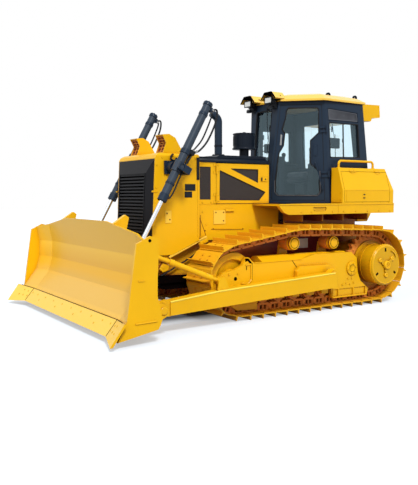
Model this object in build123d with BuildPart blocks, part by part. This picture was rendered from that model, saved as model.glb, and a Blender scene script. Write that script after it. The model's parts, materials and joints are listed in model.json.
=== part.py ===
"""Crawler dozer with a semi-U blade, modelled in millimetres.

Frame: +X is the machine's left, -Y its front, +Z is up, the ground is Z = 0 and
Y = 0 is half way between the blade's corner tips and the drawbar's rear end.
Each piece is its own solid and is written to parts/ as one STEP file.
"""
import os
from math import acos, atan2, cos, degrees, hypot, pi, radians, sin, tan

from build123d import *

# ---------------------------------------------------------------- clearances
SEAT_GAP = 0.3            # between a piece and what carries it
RUN_GAP = 6.0             # between pieces that pass each other

# ---------------------------------------------------------------- undercarriage
TRACK_X = 940.0           # centre of a track from the machine's centre
SHOE_WIDTH = 560.0
SHOE_PITCH = 203.0        # nominal pitch, corrected to a whole number of shoes
GROUSER_H = 56.0
PLATE_T = 14.0
PIN_TO_PLATE = 50.0       # pin line to the inside of the shoe plate
PIN_TO_RAIL = 50.0        # pin line to the surface the rollers run on
RAIL_INNER = 60.0         # a chain rail's inner and outer side from the track's centre
RAIL_OUTER = 105.0
PIN_Z = GROUSER_H + PLATE_T + PIN_TO_PLATE      # pin line above the ground
RAIL_Z = PIN_Z + PIN_TO_RAIL

IDLER_Y, IDLER_Z, IDLER_R = -592.0, 526.0, 340.0
SPROCKET_Y, SPROCKET_Z = 1985.0, 582.0
SPROCKET_LINKS = 14       # links in a full turn of the sprocket
SPROCKET_PIN_R = SHOE_PITCH / (2 * sin(pi / SPROCKET_LINKS))
CARRIER_R = 85.0
CARRIERS = ((431.0, 947.0), (1168.0, 928.0))    # (Y, Z) of each carrier roller
ROLLER_R = 92.0
ROLLER_Z = RAIL_Z + ROLLER_R + SEAT_GAP
ROLLER_FIRST_Y, ROLLER_STEP, ROLLER_COUNT = -100.0, 267.0, 7
CARRIER_SLACK = 9.0       # the chain's links cut the corner over a carrier roller
FLAT_OVERRUN = 160.0      # how far the flat ground run passes the end rollers

# ---------------------------------------------------------------- hull and hood
HULL_HALF = 420.0         # outside of the frame rails
RAIL_T = 50.0
BELLY_Z = 450.0
HOOD_HALF = 500.0
HOOD_TOP_Z = 2036.0       # upper edge of the hood's side doors
HOOD_LOW_Z = 1000.0       # lower edge of the hood's fixed sides
HOOD_REAR_Y = 436.0
GUARD_HALF = 530.0        # the radiator guard stands out past the hood
GUARD_REAR_Y = -770.0
DOOR_FRONT_Y = -478.0     # front edge of the engine doors

# ---------------------------------------------------------------- cab
CAB_FLOOR_Z, CAB_TOP_Z = 1484.3, 2970.0
CAB_T = 55.0              # thickness of the cab's walls
# plan corners of the left half at the floor and under the roof, as (X, Y)
CAB_LOW = ((220.0, 622.0), (850.0, 1281.0), (850.0, 2130.0))
CAB_TOP = ((330.0, 734.0), (790.0, 1215.0), (790.0, 1986.0))

# ---------------------------------------------------------------- deck and boxes
DECK_OUT = TRACK_X + 160
DECK_IN = 514.0
DECK_TOP_Z = 1484.0
HOOD_SIDE_Z = DECK_TOP_Z + 8         # lower edge of the hood's side doors, above the decks
BEAM_H = 145.0
DECK_RIB_Z = 1238.0       # lower edge of the ribs under the decks, above the shoes
BOX_FRONT_Y, BOX_REAR_Y = 1290.0, 2352.0
BOX_SHOULDER_Z, BOX_TOP_Z = 1678.0, 2000.0
BOX_TOP_IN = 100.0        # how far the box's upper face leans in

# ---------------------------------------------------------------- blade and arms
ARM_PIVOT_Y, ARM_PIVOT_Z = 923.0, 475.0
ARM_IN = TRACK_X + SHOE_WIDTH / 2 + 50
ARM_OUT = ARM_IN + 150
ARM_EYE_OUT = ARM_IN + 95           # outer face of the eye on the trunnion
ARM_PIN_Y, ARM_PIN_Z = -1845.0, 300.0
BLADE_HALF = 1745.0
WING_FOLD = 1420.0
WING_FORWARD = 100.0      # how far a wing's end stands in front of the centre
BLADE_T = 30.0
EDGE_LOW, EDGE_HIGH = (-2532.0, 80.0), (-2392.0, 251.0)     # front of the cutting edge, as (Y, Z)
TIP_LOW, TIP_HIGH = (-2665.0, 45.0), (-2497.0, 280.0)       # front of an end bit at its outer side
TIP_HALF = 1825.0
EDGE_T = 28.0
# front face of the blade's centre above the cutting edge, as (Y, Z)
BLADE_FACE = ((-2165.0, 506.0), (-2112.0, 700.0), (-2105.0, 930.0))
BLADE_TOP_Y = -2180.0
BLADE_TOP_Z, BLADE_END_Z = 1295.0, 1135.0
BLADE_CROWN = 650.0       # half-length of the level stretch of the top edge
# middle of a brace's eyes, at the arm and at the blade
BRACE_FOOT = ((ARM_IN + ARM_OUT) / 2, -985.0, 560.0)
BRACE_TOP = (1140.0, -1985.0, 972.0)
BRACE_EYE = 40.0          # half the width of an eye
BRACE_LUG = 20.0          # thickness of the lugs beside it

# ---------------------------------------------------------------- lift cylinders
CYL_X = 740.0
YOKE_Y, YOKE_Z = -1220.0, 1960.0
EYE_Y, EYE_Z = -1820.0, 880.0
BARREL_R, ROD_R = 54.0, 28.0
BARREL_UP, BARREL_DOWN = 945.0, 467.0           # barrel's ends from the yoke's axis

os.makedirs("parts", exist_ok=True)


# ---------------------------------------------------------------- helpers
def face_on(plane, outline):
    """A flat face with the given outline of points in the plane's own axes."""
    with BuildSketch(plane) as sketch:
        with BuildLine():
            Polyline(*outline, close=True)
        make_face()
    return sketch.sketch


def slab(outline, x_from, x_to, mode=Mode.ADD):
    """Extrude an outline of (Y, Z) points across the machine."""
    extrude(face_on(Plane.YZ.offset(x_from), outline), amount=x_to - x_from, mode=mode)


def block(x_from, x_to, y_from, y_to, z_from, z_to, mode=Mode.ADD):
    """A box between two corners."""
    with Locations(((x_from + x_to) / 2, (y_from + y_to) / 2, (z_from + z_to) / 2)):
        Box(abs(x_to - x_from), abs(y_to - y_from), abs(z_to - z_from), mode=mode)


def shaft(y, z, radius, x_from, x_to, mode=Mode.ADD):
    """A round bar along X."""
    with BuildSketch(Plane.YZ.offset(x_from)) as disc:
        with Locations((y, z)):
            Circle(radius)
    extrude(disc.sketch, amount=x_to - x_from, mode=mode)


def turned(y, z, profile):
    """Revolve a profile of (X, radius) points about an axis along X at (y, z)."""
    plane = Plane(origin=(0, y, z), x_dir=(1, 0, 0), z_dir=(0, -1, 0))
    revolve(face_on(plane, profile), axis=Axis((0, y, z), (1, 0, 0)))


def pipe(points, radius, bend):
    """A round bar along straight runs joined by bends."""
    with BuildLine() as route:
        FilletPolyline(*points, radius=bend)
    start = Plane(origin=route.line @ 0, z_dir=route.line % 0)
    with BuildSketch(start) as section:
        Circle(radius)
    sweep(section.sketch, path=route.line)


# ---------------------------------------------------------------- tracks
def belt(wheels):
    """Points and length of the pin line around wheels given as (y, z, radius), in order."""
    runs = []
    for (y0, z0, r0), (y1, z1, r1) in zip(wheels, wheels[1:] + wheels[:1]):
        heading = atan2(z1 - z0, y1 - y0)
        span = hypot(y1 - y0, z1 - z0)
        normal = heading + acos((r0 - r1) / span)
        start = (y0 + r0 * cos(normal), z0 + r0 * sin(normal))
        end = (y1 + r1 * cos(normal), z1 + r1 * sin(normal))
        runs.append((start, end, normal))
    return runs


def pins_on_belt(wheels, pitch):
    """Evenly spaced pin places on the belt, and how many there are."""
    runs = belt(wheels)
    pieces = []
    for index, (start, end, normal) in enumerate(runs):
        pieces.append(("run", start, end, hypot(end[0] - start[0], end[1] - start[1])))
        y, z, radius = wheels[(index + 1) % len(wheels)]
        turn = (normal - runs[(index + 1) % len(runs)][2]) % (2 * pi)
        pieces.append(("arc", (y, z, radius), (normal, turn), radius * turn))
    total = sum(piece[3] for piece in pieces)
    count = round(total / pitch)
    places = []
    for step in range(count):
        along = total * step / count
        for kind, first, second, length in pieces:
            if along <= length:
                break
            along -= length
        share = along / length
        if kind == "run":
            places.append((first[0] + (second[0] - first[0]) * share,
                           first[1] + (second[1] - first[1]) * share))
        else:
            angle = second[0] - second[1] * share
            places.append((first[0] + first[2] * cos(angle), first[1] + first[2] * sin(angle)))
    return places


last_roller_y = ROLLER_FIRST_Y + ROLLER_STEP * (ROLLER_COUNT - 1)
wheels = [(IDLER_Y, IDLER_Z, hypot(IDLER_R + PIN_TO_RAIL + SEAT_GAP, SHOE_PITCH / 2))]
wheels += [(y, z, CARRIER_R + PIN_TO_RAIL + CARRIER_SLACK) for y, z in CARRIERS]
wheels += [(SPROCKET_Y, SPROCKET_Z, SPROCKET_PIN_R)]
wheels += [(y, ROLLER_Z, ROLLER_Z - PIN_Z) for y in (last_roller_y + FLAT_OVERRUN, ROLLER_FIRST_Y - FLAT_OVERRUN)]
pins = pins_on_belt(wheels, SHOE_PITCH)

# one shoe as (share of the link's length, distance out from the pin line)
PLATE_OUT = PIN_TO_PLATE + PLATE_T
SHOE_OUTLINE = ((0.04, PLATE_OUT), (0.13, PLATE_OUT + GROUSER_H), (0.20, PLATE_OUT + GROUSER_H),
                (0.28, PLATE_OUT), (0.975, PLATE_OUT))
# the running side of one link
LINK_GROOVE = 0.44 * PIN_TO_RAIL
LINK_OUTLINE = ((0.11, -PIN_TO_RAIL), (0.89, -PIN_TO_RAIL), (0.935, -LINK_GROOVE), (1.05, -LINK_GROOVE))


def around(shape):
    """Repeat one link's outline at every link of the chain."""
    points = []
    for (y0, z0), (y1, z1) in zip(pins, pins[1:] + pins[:1]):
        length = hypot(y1 - y0, z1 - z0)
        ty, tz = (y1 - y0) / length, (z1 - z0) / length
        for share, out in shape:
            along = share * length
            points.append((y0 + ty * along - tz * out, z0 + tz * along + ty * out))
    return points


def build_track():
    with BuildPart() as track:
        with BuildSketch(Plane.YZ.offset(TRACK_X - SHOE_WIDTH / 2)) as shoes:
            with BuildLine():
                Polyline(*around(SHOE_OUTLINE), close=True)
            make_face()
            with BuildLine():
                Polyline(*around(((0, PIN_TO_PLATE),)), close=True)
            make_face(mode=Mode.SUBTRACT)
        extrude(amount=SHOE_WIDTH)
        for low in (TRACK_X - RAIL_OUTER, TRACK_X + RAIL_INNER):
            with BuildSketch(Plane.YZ.offset(low)) as rail:
                with BuildLine():
                    Polyline(*around(((0, PIN_TO_PLATE + PLATE_T / 2),)), close=True)
                make_face()
                with BuildLine():
                    Polyline(*around(LINK_OUTLINE), close=True)
                make_face(mode=Mode.SUBTRACT)
            extrude(amount=RAIL_OUTER - RAIL_INNER)
    return track


track_left = build_track()
with BuildPart() as track_right:
    add(mirror(track_left.part, about=Plane.YZ, mode=Mode.PRIVATE))

# ---------------------------------------------------------------- idlers, sprockets, rollers
TREAD_IN, TREAD_OUT = TRACK_X - RAIL_OUTER - 5, TRACK_X + RAIL_OUTER + 5
FLANGE_HALF = RAIL_INNER - RUN_GAP
FRAME_PLATE_IN, FRAME_PLATE_OUT = TRACK_X + 120, TRACK_X + 180
FRAME_IN = TRACK_X - 160
INNER_T = 40.0            # thickness of a track frame's inner plate

with BuildPart() as idlers:
    turned(IDLER_Y, IDLER_Z, (
        (TREAD_IN, IDLER_R - 95), (TREAD_IN, IDLER_R - SEAT_GAP), (TRACK_X - FLANGE_HALF, IDLER_R - SEAT_GAP),
        (TRACK_X - FLANGE_HALF + 8, IDLER_R + 18), (TRACK_X + FLANGE_HALF - 8, IDLER_R + 18),
        (TRACK_X + FLANGE_HALF, IDLER_R - SEAT_GAP), (TREAD_OUT, IDLER_R - SEAT_GAP), (TREAD_OUT, IDLER_R - 80),
        (TREAD_OUT - 45, IDLER_R - 95), (TREAD_OUT - 60, 130), (TREAD_OUT - 20, 110), (TREAD_OUT - 20, 0),
        (TREAD_IN + 20, 0), (TREAD_IN + 20, 110), (TREAD_IN + 60, 130), (TREAD_IN + 45, IDLER_R - 95)))
    shaft(IDLER_Y, IDLER_Z, 55, FRAME_IN + 20, FRAME_PLATE_IN - SEAT_GAP)
    mirror(about=Plane.YZ)

SPROCKET_TEETH = 2 * SPROCKET_LINKS
SPROCKET_HALF = 32.0
with BuildPart() as sprockets:
    tooth = 2 * pi / SPROCKET_TEETH
    ring = []
    for index in range(SPROCKET_TEETH):
        for share, radius in ((-0.30, -34), (-0.10, 16), (0.10, 16), (0.30, -34)):
            angle = (index + share) * tooth
            ring.append((SPROCKET_Y + (SPROCKET_PIN_R + radius) * cos(angle),
                         SPROCKET_Z + (SPROCKET_PIN_R + radius) * sin(angle)))
    slab(ring, TRACK_X - SPROCKET_HALF, TRACK_X + SPROCKET_HALF)
    shaft(SPROCKET_Y, SPROCKET_Z, 331, TRACK_X - SPROCKET_HALF, TRACK_X + SPROCKET_HALF, mode=Mode.SUBTRACT)
    mirror(about=Plane.YZ)

HUB_FACE_X = TRACK_X + 370
HUB_R = 294.0
with BuildPart() as final_drives:
    turned(SPROCKET_Y, SPROCKET_Z, (
        (HULL_HALF + SEAT_GAP, 0), (HULL_HALF + SEAT_GAP, 300), (600, 300), (660, 350),
        (TRACK_X - SPROCKET_HALF - 30, 350), (TRACK_X - SPROCKET_HALF - 30, 380),
        (TRACK_X - SPROCKET_HALF - SEAT_GAP, 380), (TRACK_X - SPROCKET_HALF - SEAT_GAP, 330.7),
        (TRACK_X + SPROCKET_HALF + SEAT_GAP, 330.7), (TRACK_X + SPROCKET_HALF + SEAT_GAP, 345),
        (TRACK_X + 60, 345), (TRACK_X + 66, HUB_R), (HUB_FACE_X - 12, HUB_R), (HUB_FACE_X, HUB_R - 12), (HUB_FACE_X, 0)))
    # cover with three lobes
    with BuildSketch(Plane.YZ.offset(HUB_FACE_X - 2)) as lobes:
        with Locations((SPROCKET_Y, SPROCKET_Z)):
            Circle(62)
        with Locations((SPROCKET_Y, SPROCKET_Z)):
            with PolarLocations(82, 3, start_angle=150):
                Circle(36)
    extrude(amount=20)
    shaft(SPROCKET_Y, SPROCKET_Z, 45, HUB_FACE_X, HUB_FACE_X + 30)
    mirror(about=Plane.YZ)

with BuildPart() as rollers:
    for index in range(ROLLER_COUNT):
        y = ROLLER_FIRST_Y + ROLLER_STEP * index
        turned(y, ROLLER_Z, (
            (FRAME_IN + 10, 0), (FRAME_IN + 10, 34), (TREAD_IN, 34), (TREAD_IN, ROLLER_R),
            (TRACK_X - RAIL_INNER, ROLLER_R), (TRACK_X - FLANGE_HALF, 108), (TRACK_X + FLANGE_HALF, 108),
            (TRACK_X + RAIL_INNER, ROLLER_R), (TREAD_OUT, ROLLER_R), (TREAD_OUT, 34),
            (FRAME_PLATE_IN - SEAT_GAP, 34), (FRAME_PLATE_IN - SEAT_GAP, 0)))
    for y, z in CARRIERS:
        turned(y, z, (
            (FRAME_IN + INNER_T + SEAT_GAP, 0), (FRAME_IN + INNER_T + SEAT_GAP, 45), (TREAD_IN - 5, 45),
            (TREAD_IN - 5, CARRIER_R), (TRACK_X - FLANGE_HALF, CARRIER_R), (TRACK_X - FLANGE_HALF + 5, CARRIER_R + 14),
            (TRACK_X + FLANGE_HALF - 5, CARRIER_R + 14), (TRACK_X + FLANGE_HALF, CARRIER_R), (TREAD_OUT - 4, CARRIER_R),
            (TREAD_OUT - 4, 60), (TREAD_OUT + 2, 60), (TREAD_OUT + 2, CARRIER_R + 3), (TREAD_OUT + 14, CARRIER_R + 3),
            (TREAD_OUT + 18, CARRIER_R - 9), (TREAD_OUT + 18, 0)))
    mirror(about=Plane.YZ)

# ---------------------------------------------------------------- track frames
PIVOT_Y, PIVOT_Z = 1335.0, 560.0
EQUALIZER_Y, EQUALIZER_Z = 60.0, 560.0
FRAME_BOTTOM_Z = 385.0
GUARD_POCKETS = ((1115, 1205), (1225, 1500), (1525, 1755))       # Y of the recesses between its ribs
with BuildPart() as track_frames:
    # outer plate, from the idler's yoke to the rear roller guard
    slab(((-820, 470), (-850, 560), (-790, 625), (-600, 650), (-490, 700), (-425, 800), (-385, 800),
          (-303, 724), (520, 730), (760, 785), (1465, 782), (1574, 692), (1600, 485), (1660, 350), (1830, 226),
          (1790, 150), (1095, 140), (1070, 300), (1010, FRAME_BOTTOM_Z), (-400, FRAME_BOTTOM_Z), (-600, 420)),
         FRAME_PLATE_IN, FRAME_PLATE_OUT)
    # box beam over the rollers
    block(FRAME_IN + INNER_T, FRAME_PLATE_IN, -170, 1465, FRAME_BOTTOM_Z, 700)
    # sloping top plate over the beam
    top_plate = Plane(origin=(0, -160, 0), x_dir=(1, 0, 0), z_dir=(0, -1, 0))
    extrude(face_on(top_plate, ((FRAME_IN + INNER_T, 699), (FRAME_IN + INNER_T, 740), (TRACK_X - 40, 792),
                                (TRACK_X + 60, 792), (FRAME_PLATE_OUT - 1, 722), (FRAME_PLATE_OUT - 1, 699))),
            amount=-1600)
    # cover of the pivot, the bulge beside it and the ribbed roller guard
    shaft(PIVOT_Y + 133, 548, 98, FRAME_PLATE_OUT, FRAME_PLATE_OUT + 16)
    slab(((380, 460), (380, 575), (440, 640), (980, 632), (1095, 540), (1095, 460)), FRAME_PLATE_OUT - 1,
         FRAME_PLATE_OUT + 72)
    for pocket in GUARD_POCKETS:
        block(FRAME_PLATE_OUT - 14, FRAME_PLATE_OUT + 5, *pocket, 158, 262, mode=Mode.SUBTRACT)
    # inner plate beside the chain, with the idler's inner yoke
    slab(((-690, 440), (-690, 600), (-500, 640), (-170, 700), (1465, 700), (1465, 385), (-170, 385), (-500, 430)),
         FRAME_IN, FRAME_IN + INNER_T)
    for y, z in CARRIERS:
        slab(((y - 90, 700), (y - 55, z), (y - 30, z + 40), (y + 30, z + 40), (y + 55, z), (y + 90, 700)),
             FRAME_IN, FRAME_IN + INNER_T)
    # idler and roller shafts pass into the yokes
    shaft(IDLER_Y, IDLER_Z, 56, FRAME_IN + 15, FRAME_IN + 45, mode=Mode.SUBTRACT)
    # push-arm trunnion
    shaft(ARM_PIVOT_Y, ARM_PIVOT_Z, 130, FRAME_PLATE_OUT, FRAME_PLATE_OUT + 60)
    shaft(ARM_PIVOT_Y, ARM_PIVOT_Z, 60, FRAME_PLATE_OUT + 60, ARM_EYE_OUT)
    # caps that hold the roller shafts
    for index in range(ROLLER_COUNT):
        y = ROLLER_FIRST_Y + ROLLER_STEP * index
        if y < 1000:
            block(FRAME_PLATE_IN, FRAME_PLATE_OUT - 15, y - 60, y + 60, ROLLER_Z - 45, FRAME_BOTTOM_Z)
        block(FRAME_IN, FRAME_IN + 10 - SEAT_GAP, y - 60, y + 60, ROLLER_Z - 45, FRAME_BOTTOM_Z)
    mirror(about=Plane.YZ)

# ---------------------------------------------------------------- main frame
HULL_REAR_Y = 2330.0
NOSE_LOW_Z = BELLY_Z
GUARD_LOW_Z = 830.0
ENGINE_HALF, ENGINE_LOW_Z = 270.0, 760.0
with BuildPart() as main_frame:
    rail_outline = ((-1310, NOSE_LOW_Z), (-1353, NOSE_LOW_Z + 40), (-1353, 690), (-1290, 760), (-1180, 812), (-627, 1045), (-560, 1180),
                    (2050, 1180), (HULL_REAR_Y, 1100), (HULL_REAR_Y, 520), (2250, BELLY_Z))
    slab(rail_outline, HULL_HALF - RAIL_T, HULL_HALF)
    slab(rail_outline, -HULL_HALF, RAIL_T - HULL_HALF)
    half = HULL_HALF - RAIL_T
    block(-half, half, -1340, 1500, BELLY_Z, BELLY_Z + 20)
    slab(((-1350, NOSE_LOW_Z + 45), (-1350, 700), (-1310, 700), (-1290, NOSE_LOW_Z)), -half, half)
    slab(((1500, BELLY_Z), (1500, 1150), (2200, 1150), (HULL_REAR_Y, 1100), (HULL_REAR_Y, 520), (2250, BELLY_Z)),
         -half, half)
    # seat of the radiator guard, and the engine's mounts
    block(-HOOD_HALF, HOOD_HALF, -1300, -1190, 745, GUARD_LOW_Z - SEAT_GAP)
    for y in (-700, 100):
        for side in (1, -1):
            block(*sorted((side * (ENGINE_HALF - 40), side * (half + 5))), y - 50, y + 50, 690, ENGINE_LOW_Z - SEAT_GAP)
    for side in (1, -1):
        inner, outer = sorted((side * HULL_HALF, side * (FRAME_IN - SEAT_GAP)))
        shaft(PIVOT_Y, PIVOT_Z, 90, inner, outer)
        block(inner, outer, EQUALIZER_Y - 70, EQUALIZER_Y + 70, EQUALIZER_Z - 60, EQUALIZER_Z + 60)

# ---------------------------------------------------------------- drawbar
DRAWBAR_REAR_Y = 2658.0
DRAWBAR_PIN_R = 30.0
DRAWBAR_EYE_Y = 2590.0
with BuildPart() as drawbar:
    with BuildSketch(Plane.XY.offset(560)) as jaw:
        with BuildLine():
            Polyline((-190, HULL_REAR_Y + 30), (190, HULL_REAR_Y + 30), (110, 2560), (-110, 2560), close=True)
        make_face()
        with Locations((0, DRAWBAR_EYE_Y)):
            Circle(DRAWBAR_REAR_Y - DRAWBAR_EYE_Y)
        with BuildLine():
            Polyline((-68, 2540), (68, 2540), (68, DRAWBAR_EYE_Y), (-68, DRAWBAR_EYE_Y), close=True)
        make_face()
    extrude(amount=45)
    extrude(jaw.sketch.moved(Location((0, 0, 165))), amount=45)
    block(-190, 190, HULL_REAR_Y + SEAT_GAP, HULL_REAR_Y + 40, 530, 810)
    with Locations((0, DRAWBAR_EYE_Y, 665)):
        Cylinder(DRAWBAR_PIN_R, 400, mode=Mode.SUBTRACT)

# ---------------------------------------------------------------- engine
with BuildPart() as engine_block:
    block(-ENGINE_HALF, ENGINE_HALF, -900, 250, ENGINE_LOW_Z, 1820)

# ---------------------------------------------------------------- radiator guard and grille
GUARD_T = 40.0
GUARD_TOP_Z = 2145.0
guard_outline = ((-1472, GUARD_LOW_Z), (-1480, 1000), (-1432, 2079), (-1410, 2118), (-1365, GUARD_TOP_Z),
                 (GUARD_REAR_Y, GUARD_TOP_Z), (GUARD_REAR_Y, 1000), (-1180, GUARD_LOW_Z))
with BuildPart() as radiator_guard:
    slab(guard_outline, -GUARD_HALF, GUARD_HALF)
    top_edges = radiator_guard.edges().filter_by(Axis.X, reverse=True).filter_by(
        lambda edge: edge.center().Z > 2050 and edge.center().Y > -1350 and abs(edge.center().X) > GUARD_HALF - 1
        and abs((edge % 0.5).Y) > 0.5)
    fillet(top_edges, 45)
    slab(((-1500, 700), (-1435, 1180), (-1392, 2070), (-1375, 2095), (GUARD_REAR_Y + 10, 2095),
          (GUARD_REAR_Y + 10, 700)), GUARD_T - GUARD_HALF, GUARD_HALF - GUARD_T, mode=Mode.SUBTRACT)
    # opening behind the grille
    slab(((-1550, 1200), (-1550, 2000), (-1300, 2000), (-1300, 1200)), -400, 400, mode=Mode.SUBTRACT)

GRILLE_OUT = 55.0         # how far the grille's face stands out of the guard
GRILLE_HALF, GRILLE_FACE_HALF = GUARD_HALF - 12, 392.0
LOUVRES = 19
grille_lean = degrees(atan2(48, 1079))
grille_plane = Plane(origin=(0, -1480, 1000), x_dir=(1, 0, 0),
                     z_dir=(0, -cos(radians(grille_lean)), sin(radians(grille_lean)))).offset(SEAT_GAP)
GRILLE_BASE = (0.0, 1070.0)         # lower and upper edge up the guard's face
GRILLE_FACE = (20.0, 885.0)
with BuildPart() as grille:
    with BuildSketch(grille_plane) as back:
        with Locations((0, sum(GRILLE_BASE) / 2)):
            Rectangle(2 * GRILLE_HALF, GRILLE_BASE[1] - GRILLE_BASE[0])
    with BuildSketch(grille_plane.offset(GRILLE_OUT)) as front:
        with Locations((0, sum(GRILLE_FACE) / 2)):
            Rectangle(2 * GRILLE_FACE_HALF, GRILLE_FACE[1] - GRILLE_FACE[0])
    loft()
    step = (GRILLE_FACE[1] - GRILLE_FACE[0] - 40) / LOUVRES
    with BuildSketch(grille_plane.offset(GRILLE_OUT)) as slots:
        for index in range(LOUVRES):
            with Locations((0, GRILLE_FACE[0] + 20 + step * (index + 0.5))):
                Rectangle(2 * GRILLE_FACE_HALF - 60, step * 0.55)
    extrude(amount=15 - GRILLE_OUT, mode=Mode.SUBTRACT)

# ---------------------------------------------------------------- hood
PANEL_T = 30.0
COVER_LIFT = 10.0         # the cover's seat above the tops of the doors
HINGE_R = 11.0
HINGE_X = HOOD_HALF + HINGE_R + 0.5
KNUCKLE_H = 70.0
ENGINE_HINGES = (1560.0, 1960.0)


def hood_knuckle(z, height, leaf_from, leaf_to):
    """A length of an engine door's hinge with its leaf on the hood's left side."""
    with Locations((HINGE_X, DOOR_FRONT_Y, z)):
        Cylinder(HINGE_R, height)
    block(HOOD_HALF - 2, HOOD_HALF + 6, DOOR_FRONT_Y + leaf_from, DOOR_FRONT_Y + leaf_to, z - height / 2, z + height / 2)


with BuildPart() as hood_panels:
    for side in (1, -1):
        inner, outer = sorted((side * (HOOD_HALF - PANEL_T), side * HOOD_HALF))
        # post with the front vent, and the lower body side
        slab(((GUARD_REAR_Y + SEAT_GAP, HOOD_TOP_Z + COVER_LIFT),
              (DOOR_FRONT_Y - RUN_GAP, HOOD_TOP_Z + COVER_LIFT), (DOOR_FRONT_Y - RUN_GAP, HOOD_SIDE_Z - RUN_GAP),
              (HOOD_REAR_Y, HOOD_SIDE_Z - RUN_GAP), (613, HOOD_SIDE_Z - 20 - RUN_GAP), (600, 1190), (520, HOOD_LOW_Z),
              (-600, HOOD_LOW_Z), (GUARD_REAR_Y + SEAT_GAP, 1040)), inner, outer)
        slab(((-744, 1545), (-744, 1985), (-568, 1985), (-568, 1545)), inner - 5, outer + 5, mode=Mode.SUBTRACT)
    with BuildPart(mode=Mode.PRIVATE) as knuckles:
        for z in ENGINE_HINGES:
            for side in (1, -1):
                hood_knuckle(z + side * (KNUCKLE_H / 2 + SEAT_GAP + 15), 30, -45, -RUN_GAP - 2)
    add(knuckles.part)
    add(mirror(knuckles.part, about=Plane.YZ, mode=Mode.PRIVATE))
    # floor of the hood over the frame rails, and the rear wall
    block(PANEL_T - HOOD_HALF, HOOD_HALF - PANEL_T, 380, 410, 1186, HOOD_TOP_Z + COVER_LIFT)
    block(HULL_HALF - RAIL_T, HOOD_HALF - PANEL_T, -540, 380, 1186, 1206)
    block(-(HOOD_HALF - PANEL_T), -(HULL_HALF - RAIL_T), -540, 380, 1186, 1206)

COVER_EDGE_Z = HOOD_TOP_Z + 78      # top of the cover ahead of its raised stretch
COVER_TOP_Z = HOOD_TOP_Z + 118
COVER_STEP_Y = -430.0
with BuildPart() as hood_cover:
    with BuildSketch(Plane.XZ.offset(-(GUARD_REAR_Y + SEAT_GAP))) as roof_line:
        with BuildLine():
            Polyline((-HOOD_HALF, HOOD_TOP_Z + COVER_LIFT + SEAT_GAP), (HOOD_HALF, HOOD_TOP_Z + COVER_LIFT + SEAT_GAP),
                     (HOOD_HALF, HOOD_TOP_Z + 30),
                     (400, COVER_EDGE_Z), (-400, COVER_EDGE_Z), (-HOOD_HALF, HOOD_TOP_Z + 30), close=True)
        make_face()
    extrude(amount=GUARD_REAR_Y - HOOD_REAR_Y - 10)
    slab(((COVER_STEP_Y, COVER_EDGE_Z - 5), (COVER_STEP_Y, COVER_EDGE_Z), (COVER_STEP_Y + 70, COVER_TOP_Z), (HOOD_REAR_Y + 9.7, COVER_TOP_Z),
          (HOOD_REAR_Y + 9.7, COVER_EDGE_Z - 5)), -400, 400)
    # rail along the cover's lower edge
    for side in (1, -1):
        inner, outer = sorted((side * (HOOD_HALF - 10), side * (HOOD_HALF + 12)))
        block(inner, outer, GUARD_REAR_Y + 40, HOOD_REAR_Y - 6, HOOD_TOP_Z + COVER_LIFT + 2, HOOD_TOP_Z + 34)

VENT_T = 6.0
with BuildPart() as vent_screens:
    block(HOOD_HALF - PANEL_T + 8, HOOD_HALF - 8, -743.7, -568.3, 1545.3, 1984.7)
    mirror(about=Plane.YZ)

# engine doors
DOOR_VENTS = (
    ((-418, 1940), (-424, 1540), (252, 1533), (362, 1648)),
    ((-236, 1967), (231, 1965), (227, 1782)),
)


def inset(outline, gap):
    """The outline drawn in by a gap on every side."""
    with BuildSketch() as sketch:
        with BuildLine():
            Polyline(*outline, close=True)
        make_face()
        offset(amount=-gap, kind=Kind.INTERSECTION, mode=Mode.REPLACE)
    return [(vertex.X, vertex.Y) for vertex in sketch.sketch.faces()[0].outer_wire().vertices()]


ENGINE_DOOR = ((DOOR_FRONT_Y, HOOD_SIDE_Z), (DOOR_FRONT_Y, HOOD_TOP_Z), (HOOD_REAR_Y - 10, HOOD_TOP_Z),
               (HOOD_REAR_Y - 10, HOOD_SIDE_Z))
with BuildPart() as engine_door_left:
    slab(ENGINE_DOOR, HOOD_HALF - PANEL_T, HOOD_HALF)
    for vent in DOOR_VENTS:
        slab(vent, HOOD_HALF - PANEL_T - 5, HOOD_HALF + 5, mode=Mode.SUBTRACT)
    for z in ENGINE_HINGES:
        hood_knuckle(z, KNUCKLE_H, 2, 50)
    block(HOOD_HALF, HOOD_HALF + 12, 300, 380, 1800, 1860)
with BuildPart() as door_screens_left:
    for vent in DOOR_VENTS:
        slab(inset(vent, SEAT_GAP), HOOD_HALF - PANEL_T + 10, HOOD_HALF - 10)

# ---------------------------------------------------------------- lamp pods on the hood
POD_IN, POD_OUT = 270.0, 470.0
POD_BASE_Z = GUARD_TOP_Z + SEAT_GAP
with BuildPart() as lamp_pods:
    slab(((-1285, POD_BASE_Z), (-1235, 2280), (-1290, 2385), (-1190, 2395), (-1100, 2350), (-1010, 2205),
          (-1010, POD_BASE_Z)), POD_IN, POD_OUT)
    slab(((-1320, POD_BASE_Z + 14), (-1320, 2372), (-1180, 2372), (-1180, POD_BASE_Z + 14)), POD_IN + 12, POD_OUT - 12,
         mode=Mode.SUBTRACT)
    mirror(about=Plane.YZ)
with BuildPart() as lamp_grids:
    slab(((-1262, POD_BASE_Z + 14.3), (-1212, 2280), (-1266, 2371.7), (-1180.3, 2371.7), (-1180.3, POD_BASE_Z + 14.3)),
         POD_IN + 12.3, POD_OUT - 12.3)
    mirror(about=Plane.YZ)

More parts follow.
